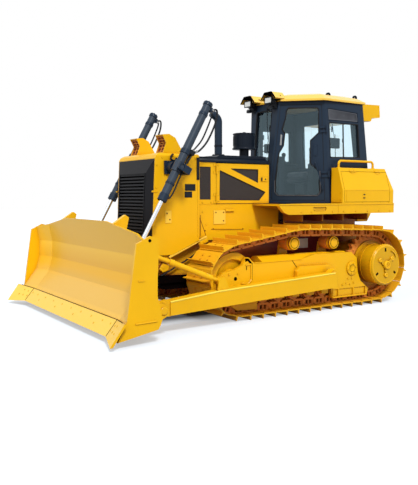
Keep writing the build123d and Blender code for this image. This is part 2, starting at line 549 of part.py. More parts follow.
# ---------------------------------------------------------------- exhaust and precleaner
EXHAUST_Y = -110.0
with BuildPart() as exhaust_pipe:
    pipe(((0, EXHAUST_Y, COVER_TOP_Z + SEAT_GAP), (0, EXHAUST_Y, 2700), (0, EXHAUST_Y - 115, 2772)), 55, 90)
    with Locations((0, EXHAUST_Y, COVER_TOP_Z + SEAT_GAP + 10)):
        Cylinder(80, 20)
with BuildPart() as precleaner:
    with Locations((0, 350, COVER_TOP_Z + SEAT_GAP + 60)):
        Cylinder(70, 120)
    with Locations((0, 350, COVER_TOP_Z + SEAT_GAP + 120 + 120)):
        Cylinder(160, 240)
    fillet(precleaner.edges().filter_by(GeomType.CIRCLE).group_by(Axis.Z)[-1], 15)

# ---------------------------------------------------------------- cab
def hexagon(half, z):
    """The cab's plan at a height, from its left half's corners."""
    corners = list(half) + [(-x, y) for x, y in reversed(half)]
    return face_on(Plane.XY.offset(z), corners)


def shrunk(half, gap):
    """Plan corners drawn in by a wall's thickness."""
    (fx, fy), (bx, by), (rx, ry) = half
    return ((fx - 0.42 * gap, fy + gap), (bx - gap, by + 0.42 * gap), (rx - gap, ry - gap))


LEAN = CAB_TOP_Z - CAB_FLOOR_Z


def facet(first, second):
    """The plane of a wall between two of the cab's corners: x along the wall, y up it."""
    (x0, y0), (x1, y1) = CAB_LOW[first], CAB_LOW[second]
    (tx, ty) = CAB_TOP[first]
    along = Vector(x1 - x0, y1 - y0, 0).normalized()
    rise = Vector(tx - x0, ty - y0, LEAN)
    return Plane(origin=(x0, y0, CAB_FLOOR_Z), x_dir=along, z_dir=along.cross(rise).normalized())


door_facet = facet(0, 1)
side_facet = facet(1, 2)
front_facet = Plane(origin=(0, CAB_LOW[0][1], CAB_FLOOR_Z), x_dir=(1, 0, 0),
                    z_dir=Vector(1, 0, 0).cross(Vector(0, CAB_TOP[0][1] - CAB_LOW[0][1], LEAN)).normalized())
rear_facet = Plane(origin=(0, CAB_LOW[2][1], CAB_FLOOR_Z), x_dir=(-1, 0, 0),
                   z_dir=Vector(-1, 0, 0).cross(Vector(0, CAB_TOP[2][1] - CAB_LOW[2][1], LEAN)).normalized())

# door opening, leaf and its glass on the door's wall
DOOR_OPENING = ((58, 40), (62, 330), (182, 1440), (780, 1440), (845, 40))
DOOR_GLASS = ((106, 160), (108, 330), (139, 610), (160, 745), (222, 850), (240, 1020), (200, 1085), (254, 1257),
              (262, 1360), (301, 1400), (712, 1396), (744, 1365), (749, 1022), (632, 911), (635, 587), (764, 465),
              (776, 160), (736, 108), (149, 110))
FRONT_GLASS = ((-180, 420), (-190, 1360), (-170, 1390), (170, 1390), (190, 1360), (180, 420))
SIDE_GLASS = ((22, 665), (4, 1185), (608, 1185), (636, 680))
VENT_BAND = ((0, 1208), (-12, 1385), (592, 1350), (606, 1208))    # recess over the side glass
REAR_GLASS = ((-600, 560), (-560, 1300), (560, 1300), (600, 560))


def grown(outline, gap):
    """A face of the outline drawn out by a gap, in its own axes."""
    turn = 1 if sum(ax * by - bx * ay for (ax, ay), (bx, by) in zip(outline, outline[1:] + outline[:1])) > 0 else -1
    corners = []
    for before, here, after in zip(outline[-1:] + outline[:-1], outline, outline[1:] + outline[:1]):
        sides = []
        for (ax, ay), (bx, by) in ((before, here), (here, after)):
            length = hypot(bx - ax, by - ay)
            sides.append((turn * (by - ay) / length, turn * (ax - bx) / length))
        (px, py), (qx, qy) = sides
        reach = gap / (1 + px * qx + py * qy)
        corners.append((here[0] + reach * (px + qx), here[1] + reach * (py + qy)))
    return face_on(Plane.XY, corners)


with BuildPart() as cab_frame:
    loft([hexagon(CAB_LOW, CAB_FLOOR_Z), hexagon(CAB_TOP, CAB_TOP_Z)], ruled=True)
    loft([hexagon(shrunk(CAB_LOW, CAB_T), CAB_FLOOR_Z + 40), hexagon(shrunk(CAB_TOP, CAB_T), CAB_TOP_Z + 1)],
         ruled=True, mode=Mode.SUBTRACT)
    for wall, outline in ((front_facet, FRONT_GLASS), (door_facet, DOOR_OPENING), (side_facet, SIDE_GLASS),
                          (rear_facet, REAR_GLASS)):
        cutter = extrude(face_on(wall.offset(20), outline), amount=-120, mode=Mode.PRIVATE)
        add(cutter, mode=Mode.SUBTRACT)
        if wall in (door_facet, side_facet):
            add(mirror(cutter, about=Plane.YZ, mode=Mode.PRIVATE), mode=Mode.SUBTRACT)
    band = extrude(face_on(side_facet.offset(20), VENT_BAND), amount=-34, mode=Mode.PRIVATE)
    add(band, mode=Mode.SUBTRACT)
    add(mirror(band, about=Plane.YZ, mode=Mode.PRIVATE), mode=Mode.SUBTRACT)

GLASS_T = 8.0
GLASS_IN = 24.0

# hinges of a cab door, on a line outside the corner between the door's wall and the side wall
CAB_HINGE_R = 15.0
CAB_HINGE_OUT = CAB_HINGE_R + 4
corner_foot = Vector(*CAB_LOW[1], CAB_FLOOR_Z)
hinge_line = (Vector(*CAB_TOP[1], CAB_TOP_Z) - corner_foot).normalized()
between = (door_facet.z_dir + side_facet.z_dir).normalized()
hinge_foot = corner_foot + between * (CAB_HINGE_OUT / between.dot(door_facet.z_dir))
# distance up the hinge line, and the ends of the strap's foot on the door from the corner
CAB_HINGES = ((430.0, -102.0, -76.0), (1080.0, -92.0, -64.0))
CAB_KNUCKLE = 30.0        # length of each knuckle


def cab_knuckle(start, end):
    """A length of a cab door's hinge barrel."""
    with BuildSketch(Plane(origin=hinge_foot + hinge_line * start, z_dir=hinge_line)) as disc:
        Circle(CAB_HINGE_R)
    extrude(disc.sketch, amount=end - start)


def cab_strap(wall, start, end, x_from, x_to, low, high):
    """A plate on a wall beside the hinged corner, between two distances up the hinge line."""
    plane = Plane(origin=corner_foot + wall.z_dir * low, x_dir=hinge_line.cross(wall.z_dir), z_dir=wall.z_dir)
    extrude(face_on(plane, ((x_from, start), (x_to, start), (x_to, end), (x_from, end))), amount=high - low)


with BuildPart(mode=Mode.PRIVATE) as frame_knuckles:
    for rise, foot_from, foot_to in CAB_HINGES:
        cab_knuckle(rise - CAB_KNUCKLE / 2, rise + CAB_KNUCKLE / 2)
        cab_strap(side_facet, rise - CAB_KNUCKLE / 2, rise + CAB_KNUCKLE / 2, -2, 48, -1, 8)
with cab_frame:
    add(frame_knuckles.part)
    add(mirror(frame_knuckles.part, about=Plane.YZ, mode=Mode.PRIVATE))
with BuildPart() as cab_glass:
    for wall, outline in ((front_facet, FRONT_GLASS), (side_facet, SIDE_GLASS), (rear_facet, REAR_GLASS)):
        pane = extrude(wall.offset(-GLASS_IN) * grown(outline, -SEAT_GAP), amount=-GLASS_T, mode=Mode.PRIVATE)
        add(pane)
        if wall is side_facet:
            add(mirror(pane, about=Plane.YZ, mode=Mode.PRIVATE))

with BuildPart() as cab_door_left:
    extrude(door_facet.offset(-4) * grown(DOOR_OPENING, -RUN_GAP), amount=-36)
    extrude(door_facet.offset(10) * grown(DOOR_GLASS, 0), amount=-100, mode=Mode.SUBTRACT)
    for rise, foot_from, foot_to in CAB_HINGES:
        for start in (rise - CAB_KNUCKLE * 1.5 - SEAT_GAP, rise + CAB_KNUCKLE / 2 + SEAT_GAP):
            cab_knuckle(start, start + CAB_KNUCKLE)
            cab_strap(door_facet, start, start + CAB_KNUCKLE, foot_from, foot_to, -10, 7)
            cab_strap(door_facet, start, start + CAB_KNUCKLE, foot_from, 2, 6, 14)
with BuildPart() as door_glass_left:
    extrude(door_facet.offset(-18) * grown(DOOR_GLASS, -SEAT_GAP), amount=-GLASS_T)

ROOF_OVER = 45.0
ROOF_LIFT = SEAT_GAP
LIFT_EYES = (1410.0, 1960.0)
roof_plan = ((CAB_TOP[0][0] + 60, CAB_TOP[0][1] - 14), (CAB_TOP[1][0] + ROOF_OVER, CAB_TOP[1][1] - 40),
             (CAB_TOP[2][0] + 20, CAB_TOP[2][1] + 40))
BROW = ((84, 3005), (178, 3106), (330, 3106), (417, 3012))        # hood over a lamp, as (X, Z)
BROW_Y = (590.0, 800.0)
with BuildPart() as cab_roof:
    loft([hexagon(roof_plan, CAB_TOP_Z + ROOF_LIFT), hexagon(roof_plan, CAB_TOP_Z + 28)], ruled=True)
    loft([hexagon(roof_plan, CAB_TOP_Z + 28), hexagon(shrunk(roof_plan, 90), CAB_TOP_Z + 88)], ruled=True)
    for side in (1, -1):
        brow = Plane(origin=(0, BROW_Y[0], 0), x_dir=(side, 0, 0), z_dir=(0, -side, 0))
        rim = [(x, z) for x, z in BROW]
        inside = [(x + step, z - 14) for (x, z), step in zip(reversed(BROW), (-18, -6, 6, 18))]
        extrude(face_on(brow, rim + inside), amount=-side * (BROW_Y[1] - BROW_Y[0]))
        # lifting eyes
        for y in LIFT_EYES:
            with BuildSketch(Plane.YZ.offset(side * 650 - 10)) as eye:
                with Locations((y, CAB_TOP_Z + 110)):
                    Circle(38)
                    Circle(20, mode=Mode.SUBTRACT)
            extrude(amount=20)

ROOF_REAR_Y = roof_plan[2][1] + SEAT_GAP
with BuildPart() as roof_box:
    slab(((ROOF_REAR_Y, 2760), (ROOF_REAR_Y, 3010), (2560, 3022), (2580, 2828), (2400, 2815), (2375, 2760)), -600, 600)
    fillet(roof_box.edges().filter_by(Axis.X).group_by(Axis.Y)[-1], 20)

# ---------------------------------------------------------------- seat and controls
with BuildPart() as seat:
    block(-160, 160, 1400, 1700, CAB_FLOOR_Z + 40 + SEAT_GAP, 1830)
    block(-250, 250, 1330, 1800, 1830, 1960)
    slab(((1780, 1960), (1800, 2560), (1900, 2560), (1900, 1900), (1800, 1850)), -230, 230)
with BuildPart() as console:
    block(-200, 200, 860, 960, CAB_FLOOR_Z + 40 + SEAT_GAP, 2180)
    for x in (-350, 350):
        block(x - 60, x + 60, 1350, 1700, CAB_FLOOR_Z + 40 + SEAT_GAP, 2080)
        with Locations((x, 1400, 2150)):
            Cylinder(20, 160)

# ---------------------------------------------------------------- decks, boxes, tank
with BuildPart() as decks:
    slab(((130, DECK_TOP_Z), (130, DECK_TOP_Z - 25), (215, DECK_TOP_Z - BEAM_H + 30), (300, DECK_TOP_Z - BEAM_H),
          (2370, DECK_TOP_Z - BEAM_H), (2370, DECK_TOP_Z)), DECK_OUT - 60, DECK_OUT)
    block(DECK_IN, DECK_OUT - 60, 130, 2370, DECK_TOP_Z - 25, DECK_TOP_Z)
    with BuildSketch(Plane.YZ.offset(DECK_OUT - 12)) as slot:
        with Locations((857, DECK_TOP_Z - 70)):
            SlotOverall(250, 58)
    extrude(amount=20, mode=Mode.SUBTRACT)
    for y in (620, 1000, 1400, 1900):
        block(HULL_HALF + 180, 1000, y, y + 14, DECK_RIB_Z, DECK_TOP_Z - 25)
    block(HULL_HALF + SEAT_GAP, HULL_HALF + 190, 620, 2050, 1120, 1180)
    block(HULL_HALF + 170, HULL_HALF + 190, 620, 2050, 1120, DECK_TOP_Z - 25)
    mirror(about=Plane.YZ)

BOX_IN = 870.0
BOX_PROFILE = ((BOX_IN, DECK_TOP_Z + SEAT_GAP), (DECK_OUT, DECK_TOP_Z + SEAT_GAP), (DECK_OUT, BOX_SHOULDER_Z),
               (DECK_OUT - BOX_TOP_IN, BOX_TOP_Z), (BOX_IN, BOX_TOP_Z))
box_front = Plane(origin=(0, BOX_FRONT_Y, 0), x_dir=(1, 0, 0), z_dir=(0, -1, 0))
LID_T = 25.0
LID_Y = (BOX_FRONT_Y + 45, BOX_REAR_Y - 85)
LID_Z = (DECK_TOP_Z + 25, 1945.0)
lid_slope = BOX_TOP_IN / (BOX_TOP_Z - BOX_SHOULDER_Z)
LID_PROFILE = ((DECK_OUT - LID_T, LID_Z[0]), (DECK_OUT, LID_Z[0]), (DECK_OUT, BOX_SHOULDER_Z),
               (DECK_OUT - lid_slope * (LID_Z[1] - BOX_SHOULDER_Z), LID_Z[1]),
               (DECK_OUT - lid_slope * (LID_Z[1] - BOX_SHOULDER_Z) - LID_T, LID_Z[1]),
               (DECK_OUT - LID_T, BOX_SHOULDER_Z))
LID_HINGE_R = 8.0
LID_HINGES = (1560.0, 2080.0)
lid_lean = atan2(lid_slope, 1)
seam_z = LID_Z[1] + RUN_GAP / 2
seam_plane_at = (DECK_OUT - lid_slope * (seam_z - BOX_SHOULDER_Z), seam_z)


def on_slope(up, out):
    """A point (X, Z) from the seam above the box's door: up the sloping face, and out from it."""
    return (seam_plane_at[0] - up * sin(lid_lean) + out * cos(lid_lean),
            seam_plane_at[1] + up * cos(lid_lean) + out * sin(lid_lean))


LID_HINGE = on_slope(0, LID_HINGE_R + 1)


def lid_knuckle(y, length, leaf_from, leaf_to):
    """A length of the box door's hinge with its leaf on the sloping face."""
    plane = Plane(origin=(0, y + length / 2, 0), x_dir=(1, 0, 0), z_dir=(0, -1, 0))
    with BuildSketch(plane) as section:
        with Locations(LID_HINGE):
            Circle(LID_HINGE_R)
    extrude(section.sketch, amount=length)
    extrude(face_on(plane, [on_slope(leaf_from, -1), on_slope(leaf_to, -1), on_slope(leaf_to, 4),
                            on_slope(leaf_from, 4)]), amount=length)


with BuildPart() as side_boxes:
    extrude(face_on(box_front, BOX_PROFILE), amount=BOX_FRONT_Y - BOX_REAR_Y)
    # rear face leans forward above the shoulder
    slab(((BOX_REAR_Y, BOX_SHOULDER_Z), (BOX_REAR_Y - 90, BOX_TOP_Z), (BOX_REAR_Y - 90, BOX_TOP_Z + 50),
          (BOX_REAR_Y + 50, BOX_TOP_Z + 50), (BOX_REAR_Y + 50, BOX_SHOULDER_Z)), BOX_IN - 10, DECK_OUT + 10,
         mode=Mode.SUBTRACT)
    # recess for the door
    seat_face = Plane(origin=(0, LID_Y[0] - RUN_GAP, 0), x_dir=(1, 0, 0), z_dir=(0, -1, 0))
    recess = ((DECK_OUT - LID_T - RUN_GAP, LID_Z[0] - RUN_GAP), (DECK_OUT + 30, LID_Z[0] - RUN_GAP),
              (DECK_OUT + 30, LID_Z[1] + RUN_GAP), (DECK_OUT - 85 - LID_T - RUN_GAP, LID_Z[1] + RUN_GAP),
              (DECK_OUT - LID_T - RUN_GAP, BOX_SHOULDER_Z))
    extrude(face_on(seat_face, recess), amount=LID_Y[0] - LID_Y[1] - 2 * RUN_GAP, mode=Mode.SUBTRACT)
    for y in LID_HINGES:
        for side in (1, -1):
            lid_knuckle(y + side * (30 + 15 + SEAT_GAP), 30, RUN_GAP / 2 - 1, 30)
    mirror(about=Plane.YZ)

with BuildPart() as box_door_left:
    extrude(face_on(Plane(origin=(0, LID_Y[0], 0), x_dir=(1, 0, 0), z_dir=(0, -1, 0)), LID_PROFILE),
            amount=LID_Y[0] - LID_Y[1])
    for y in LID_HINGES:
        lid_knuckle(y, 60, -34, -RUN_GAP / 2 + 1)

with BuildPart() as rear_tank:
    slab(((2200, 1490), (2140, 1990), (2400, 1990), (2480, 1900), (2500, 1300), (2420, 1186), (2200, 1186)), SEAT_GAP - DECK_IN, DECK_IN - SEAT_GAP)
    fillet(rear_tank.edges().filter_by(Axis.X).group_by(Axis.Y)[-1], 40)

with BuildPart() as handrails:
    pipe(((900, 1400, BOX_TOP_Z + SEAT_GAP), (900, 1400, 2105), (900, 2110, 2105), (900, 2110, BOX_TOP_Z + SEAT_GAP)),
         17, 50)
    mirror(about=Plane.YZ)

# ---------------------------------------------------------------- work lights
def cab_front_y(z):
    """Y of the cab's front wall at a height."""
    return CAB_LOW[0][1] + (CAB_TOP[0][1] - CAB_LOW[0][1]) * (z - CAB_FLOOR_Z) / LEAN


CAB_FRONT_LOW, CAB_FRONT_HIGH = cab_front_y(2880), cab_front_y(2968)
with BuildPart() as work_lights:
    block(172, 330, 600, 675, 2946, 3034)
    slab(((668, 2880), (CAB_FRONT_LOW - SEAT_GAP, 2880), (CAB_FRONT_HIGH - SEAT_GAP, 2968), (668, 2968)), 196, 306)
    mirror(about=Plane.YZ)

# ---------------------------------------------------------------- blade
slope_top = (BLADE_TOP_Z - BLADE_END_Z) / (BLADE_HALF - BLADE_CROWN)


edge_run = hypot(EDGE_HIGH[0] - EDGE_LOW[0], EDGE_HIGH[1] - EDGE_LOW[1])
EDGE_NY = (EDGE_HIGH[1] - EDGE_LOW[1]) / edge_run           # from the edge's front to its back
EDGE_NZ = -(EDGE_HIGH[0] - EDGE_LOW[0]) / edge_run
EDGE_SHOWN = 0.35         # share of the cutting edge's height that stands below the blade plate


def edge_corners(x):
    """Lower and upper front corner of the cutting edge at x, as (Y, Z)."""
    share = max(0.0, abs(x) - WING_FOLD) / (TIP_HALF - WING_FOLD)
    low = tuple(a + (b - a) * share for a, b in zip(EDGE_LOW, TIP_LOW))
    high = tuple(a + (b - a) * share for a, b in zip(EDGE_HIGH, TIP_HIGH))
    return low, high


def edge_section(x):
    """A cutting plate's section at x."""
    low, high = edge_corners(x)
    return face_on(Plane.YZ.offset(x), (
        low, high, (high[0] + EDGE_NY * EDGE_T, high[1] + EDGE_NZ * EDGE_T),
        (low[0] + EDGE_NY * EDGE_T + 12, low[1] + EDGE_NZ * EDGE_T + 18)))


def blade_section(x):
    """The blade plate's section at x, as points from the edge up the front and down the back."""
    low, high = edge_corners(x)
    back = EDGE_T + SEAT_GAP
    lowest = (low[0] + EDGE_SHOWN * (high[0] - low[0]) + EDGE_NY * back,
              low[1] + EDGE_SHOWN * (high[1] - low[1]) + EDGE_NZ * back)
    forward = -WING_FORWARD * max(0.0, abs(x) - WING_FOLD) / (BLADE_HALF - WING_FOLD)
    top_z = BLADE_TOP_Z - slope_top * max(0.0, abs(x) - BLADE_CROWN)
    last_y, last_z = BLADE_FACE[-1]
    top_y = last_y + (BLADE_TOP_Y - last_y) * (top_z - last_z) / (BLADE_TOP_Z - last_z)
    front = [lowest, (high[0] + EDGE_NY * back, high[1] + EDGE_NZ * back)]
    front += [(y + forward, z) for y, z in BLADE_FACE] + [(top_y + forward, top_z)]
    return front + [(y + BLADE_T, z) for y, z in reversed(front)]


with BuildPart() as blade:
    stations = (-BLADE_HALF, -WING_FOLD, -BLADE_CROWN, BLADE_CROWN, WING_FOLD, BLADE_HALF)
    loft([face_on(Plane.YZ.offset(x), blade_section(x)) for x in stations], ruled=True)
    # box beams along the back
    back_y = BLADE_FACE[1][0] + BLADE_T
    slab(((back_y - 55, 560), (back_y + 60, 560), (back_y + 60, 820), (back_y - 5, 860), (back_y - 20, 640)),
         -WING_FOLD, WING_FOLD)
    slab(((-2330, 200), (-2050, 180), (-2020, 300), (-2110, 520), (-2180, 470)), -BLADE_HALF, BLADE_HALF)
    slab(((-2108, 1000), (-2060, 1020), (-2060, 1110), (-2128, 1120)), -WING_FOLD, WING_FOLD)
    # end plates
    for side in (1, -1):
        inner, outer = sorted((side * (BLADE_HALF - 25), side * (BLADE_HALF + 5)))
        slab(((-2543, 70), (-2436, 270), (-2315, 1097), (-2253, 1123), (-2153, 1174), (-2045, 1143), (-2067, 714),
              (-2069, 521), (-2006, 274), (-2032, 208), (-2060, 160)), inner, outer)
        shaft(-2159, 1125, 18, inner - 5, outer + 5, mode=Mode.SUBTRACT)
        # top lugs
        inner, outer = sorted((side * 800, side * 860))
        slab(((-2165, 1270), (-2010, 1372), (-1965, 1340), (-2040, 1020), (-2112, 1060)), inner, outer)
    # lugs of the lift cylinders
    for x in (CYL_X - 75, CYL_X + 45, -CYL_X - 75, -CYL_X + 45):
        slab(((-2096, 700), (-1850, 815), (-1785, 850), (-1770, 900), (-1800, 945), (-1850, 955), (-2112, 1040), (-2090, 930)),
             x, x + 30)
    # lugs of the push arms
    for x in (ARM_IN - 70, ARM_OUT + 15, 25 - ARM_IN, -ARM_OUT - 60):
        slab(((-2040, 180), (-1860, 205), (-1790, 240), (-1775, 300), (-1800, 350), (-1850, 380), (-2060, 400)),
             x, x + 45)


    # lugs of the braces, and the heads of the lift cylinders' pins
    for side in (1, -1):
        for low in (BRACE_TOP[0] - BRACE_EYE - SEAT_GAP - BRACE_LUG, BRACE_TOP[0] + BRACE_EYE + SEAT_GAP):
            inner, outer = sorted((side * low, side * (low + BRACE_LUG)))
            slab(((-2100, 870), (-2010, 905), (-1940, 935), (-1925, 972), (-1945, 1015), (-1990, 1030), (-2110, 1060)),
                 inner, outer)
        for low in (CYL_X - 85, CYL_X + 75):
            inner, outer = sorted((side * low, side * (low + 10)))
            shaft(EYE_Y, EYE_Z, 32, inner, outer)

with BuildPart() as cutting_edge:
    extrude(edge_section(-WING_FOLD), amount=2 * WING_FOLD)
    for side in (1, -1):
        loft([edge_section(side * (WING_FOLD + 1)), edge_section(side * TIP_HALF)], ruled=True)

# ---------------------------------------------------------------- push arms and braces
with BuildPart() as push_arms:
    slab(((ARM_PIVOT_Y - 30, 550), (-1060, 455), (-1722, 388), (-1722, 222), (ARM_PIVOT_Y - 30, 345)),
         ARM_IN, ARM_OUT)
    shaft(ARM_PIVOT_Y, ARM_PIVOT_Z, 118, ARM_IN, ARM_EYE_OUT)
    slab(((-1715, 395), (-1850, 385), (-1905, 340), (-1905, 260), (-1850, 222), (-1715, 215)), ARM_IN + 10, ARM_OUT - 10)
    shaft(ARM_PIVOT_Y, ARM_PIVOT_Z, 60.1, ARM_IN - 5, ARM_EYE_OUT + 2, mode=Mode.SUBTRACT)
    shaft(ARM_PIN_Y, ARM_PIN_Z, 35, ARM_IN - 25 + SEAT_GAP, ARM_OUT + 15 - SEAT_GAP)
    for low in (BRACE_FOOT[0] - BRACE_EYE - SEAT_GAP - BRACE_LUG, BRACE_FOOT[0] + BRACE_EYE + SEAT_GAP):
        slab(((-1060, 440), (-1038, 580), (-1008, 612), (-962, 612), (-930, 580), (-890, 450)),
             low, low + BRACE_LUG)
    mirror(about=Plane.YZ)

with BuildPart() as braces:
    foot, top = Vector(*BRACE_FOOT), Vector(*BRACE_TOP)
    run = (top - foot).normalized()
    # distances from the foot, and radius
    for start, end, radius in ((10, 1093, 22), (120, 640, 36), (640, 700, 42), (640, 980, 28)):
        with BuildSketch(Plane(origin=foot + run * start, z_dir=run)) as disc:
            Circle(radius)
        extrude(disc.sketch, amount=end - start)
    for x, y, z in (BRACE_FOOT, BRACE_TOP):
        shaft(y, z, 46, x - BRACE_EYE, x + BRACE_EYE)
    mirror(about=Plane.YZ)

# ---------------------------------------------------------------- lift cylinders
cyl_tilt = atan2(EYE_Y - YOKE_Y, EYE_Z - YOKE_Z)
cyl_length = hypot(EYE_Y - YOKE_Y, EYE_Z - YOKE_Z)
down = Vector(0, (EYE_Y - YOKE_Y) / cyl_length, (EYE_Z - YOKE_Z) / cyl_length)


def along_cylinder(distance):
    """A plane square to the lift cylinder, at a distance down from its yoke."""
    origin = Vector(CYL_X, YOKE_Y, YOKE_Z) + down * distance
    return Plane(origin=origin, x_dir=(1, 0, 0), z_dir=down)


def stave(distance_from, distance_to, radius, hole=0.0):
    """A round length of the lift cylinder."""
    with BuildSketch(along_cylinder(distance_from)) as ring:
        Circle(radius)
        if hole:
            Circle(hole, mode=Mode.SUBTRACT)
    extrude(ring.sketch, amount=distance_to - distance_from)


YOKE_IN, YOKE_OUT = CYL_X - 78.0, CYL_X + 78.0
YOKE_WEB = BARREL_R + 45          # from the barrel's axis to the arm behind it
with BuildPart() as barrel_left:
    stave(-BARREL_UP, BARREL_DOWN, BARREL_R)
    stave(-70, 70, BARREL_R + 12)
    stave(BARREL_DOWN - 60, BARREL_DOWN, BARREL_R + 7)
    stave(-BARREL_UP, -BARREL_UP + 30, BARREL_R + 6)
    shaft(YOKE_Y, YOKE_Z, 32, CYL_X - 110, CYL_X + 110)
    with BuildSketch(along_cylinder(BARREL_DOWN)) as bore:
        Circle(ROD_R + 0.5)
    extrude(amount=-BARREL_UP - BARREL_DOWN + 60, mode=Mode.SUBTRACT)

ROD_TOP = 205.0
with BuildPart() as rod_left:
    stave(-ROD_TOP, cyl_length - 40, ROD_R)
    shaft(EYE_Y, EYE_Z, 50, CYL_X - 38, CYL_X + 38)

with BuildPart() as cylinder_yokes:
    block(GUARD_HALF + SEAT_GAP, GUARD_HALF + 22, YOKE_Y - 85, YOKE_Y + 85, YOKE_Z - 85, YOKE_Z + 85)
    shaft(YOKE_Y, YOKE_Z, 66, GUARD_HALF + 20, YOKE_IN - 2)
    # arm that goes behind the barrel to the outer bearing, square to the barrel at rest
    arm = Plane(origin=(YOKE_IN - 20, YOKE_Y, YOKE_Z), x_dir=(0, -down.Z, down.Y), z_dir=(1, 0, 0))
    web_from, web_to = YOKE_WEB, YOKE_WEB + 35
    extrude(face_on(arm, ((web_from, -45), (web_to, -45), (web_to, 45), (web_from, 45))),
            amount=YOKE_OUT + 62 - YOKE_IN)
    extrude(face_on(arm.offset(YOKE_OUT + 22 - YOKE_IN), ((-50, -45), (web_to, -45), (web_to, 45), (-50, 45))), amount=40)
    extrude(face_on(arm, ((-50, -45), (web_to, -45), (web_to, 45), (-50, 45))), amount=18)
    shaft(YOKE_Y, YOKE_Z, 32.1, YOKE_IN - 40, YOKE_OUT + 60, mode=Mode.SUBTRACT)
    mirror(about=Plane.YZ)

# ---------------------------------------------------------------- right-hand copies and files
moving_left = {"engine_door": engine_door_left, "door_screens": door_screens_left, "cab_door": cab_door_left,
               "door_glass": door_glass_left, "box_door": box_door_left, "barrel": barrel_left, "rod": rod_left}
pieces = {
    "main_frame": main_frame, "drawbar": drawbar, "engine_block": engine_block, "radiator_guard": radiator_guard,
    "grille": grille, "hood_panels": hood_panels, "hood_cover": hood_cover, "vent_screens": vent_screens,
    "lamp_pods": lamp_pods, "lamp_grids": lamp_grids, "exhaust_pipe": exhaust_pipe, "precleaner": precleaner,
    "cab_frame": cab_frame, "cab_glass": cab_glass, "cab_roof": cab_roof, "roof_box": roof_box, "seat": seat,
    "console": console, "work_lights": work_lights, "decks": decks, "side_boxes": side_boxes,
    "rear_tank": rear_tank, "handrails": handrails, "final_drives": final_drives, "sprockets": sprockets,
    "track_frames": track_frames, "idlers": idlers, "rollers": rollers, "track_left": track_left,
    "track_right": track_right, "cylinder_yokes": cylinder_yokes, "blade": blade, "cutting_edge": cutting_edge,
    "push_arms": push_arms, "braces": braces,
}
for name, left in moving_left.items():
    with BuildPart() as right:
        add(mirror(left.part, about=Plane.YZ, mode=Mode.PRIVATE))
    pieces[name + "_left"] = left
    pieces[name + "_right"] = right

for name, piece in pieces.items():
    piece.part.label = name
    export_step(piece.part, f"parts/{name}.step")
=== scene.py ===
"""Looks of a crawler dozer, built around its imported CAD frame.

Every length is in metres, in the frame's own axes: +X is the machine's left,
-Y its front, +Z is up and the ground is z = 0.
"""

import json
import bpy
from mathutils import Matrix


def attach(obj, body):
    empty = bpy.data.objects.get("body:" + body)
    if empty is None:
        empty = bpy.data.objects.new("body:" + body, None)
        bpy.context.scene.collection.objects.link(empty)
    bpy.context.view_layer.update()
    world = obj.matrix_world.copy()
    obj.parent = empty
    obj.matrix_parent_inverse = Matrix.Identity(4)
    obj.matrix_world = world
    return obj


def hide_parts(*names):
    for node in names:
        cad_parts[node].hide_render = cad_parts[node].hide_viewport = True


bl_info = {"name": "Crawler Dozer Looks", "version": (1, 0, 0), "blender": (4, 5, 0),
    "location": "View3D > Sidebar > Dozer",
    "description": "Finishes, fittings, lights and camera of a crawler dozer",
    "category": "Add Mesh"}

from math import acos, atan2, cos, hypot, pi, radians, sin

import bmesh
import bpy
from bpy.props import FloatProperty, FloatVectorProperty, PointerProperty
from mathutils import Matrix, Vector

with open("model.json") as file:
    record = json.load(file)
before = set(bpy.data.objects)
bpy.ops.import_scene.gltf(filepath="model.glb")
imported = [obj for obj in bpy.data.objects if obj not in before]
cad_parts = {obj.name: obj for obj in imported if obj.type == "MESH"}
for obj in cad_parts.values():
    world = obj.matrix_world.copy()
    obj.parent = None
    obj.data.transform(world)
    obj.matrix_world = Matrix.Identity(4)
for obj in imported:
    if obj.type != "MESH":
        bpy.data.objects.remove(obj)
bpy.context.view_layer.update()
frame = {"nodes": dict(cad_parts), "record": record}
SIDES = (("left", 1.0), ("right", -1.0))
X, Y, Z = Matrix.Identity(3)


# ---------------------------------------------------------------- shader maths
class Signal:
    """A node's output that Python's operators turn into Math nodes."""

    def __init__(self, shader, socket):
        self.shader, self.socket = shader, socket

    def math(self, operation, *others, clamp=False):
        return self.shader.add("ShaderNodeMath", {"operation": operation, "use_clamp": clamp},
            (self, *others))["Value"]

    def __add__(self, other):
        return self.math("ADD", other)

    __radd__ = __add__

    def __mul__(self, other):
        return self.math("MULTIPLY", other)

    __rmul__ = __mul__

    def __sub__(self, other):
        return self.math("SUBTRACT", other)

    def __rsub__(self, other):
        return self.shader.add("ShaderNodeMath", {"operation": "SUBTRACT"}, (other, self))["Value"]

    def between(self, low, high):
        """0 below low, 1 above high and a straight ramp between."""
        return self.shader.add("ShaderNodeMapRange", {"clamp": True},
            {"Value": self, "From Min": low, "From Max": high})["Result"]


class Outputs:
    """A node whose outputs are read by name as signals."""

    def __init__(self, shader, node):
        self.shader, self.node = shader, node

    def __getitem__(self, name):
        return Signal(self.shader, self.node.outputs[name])


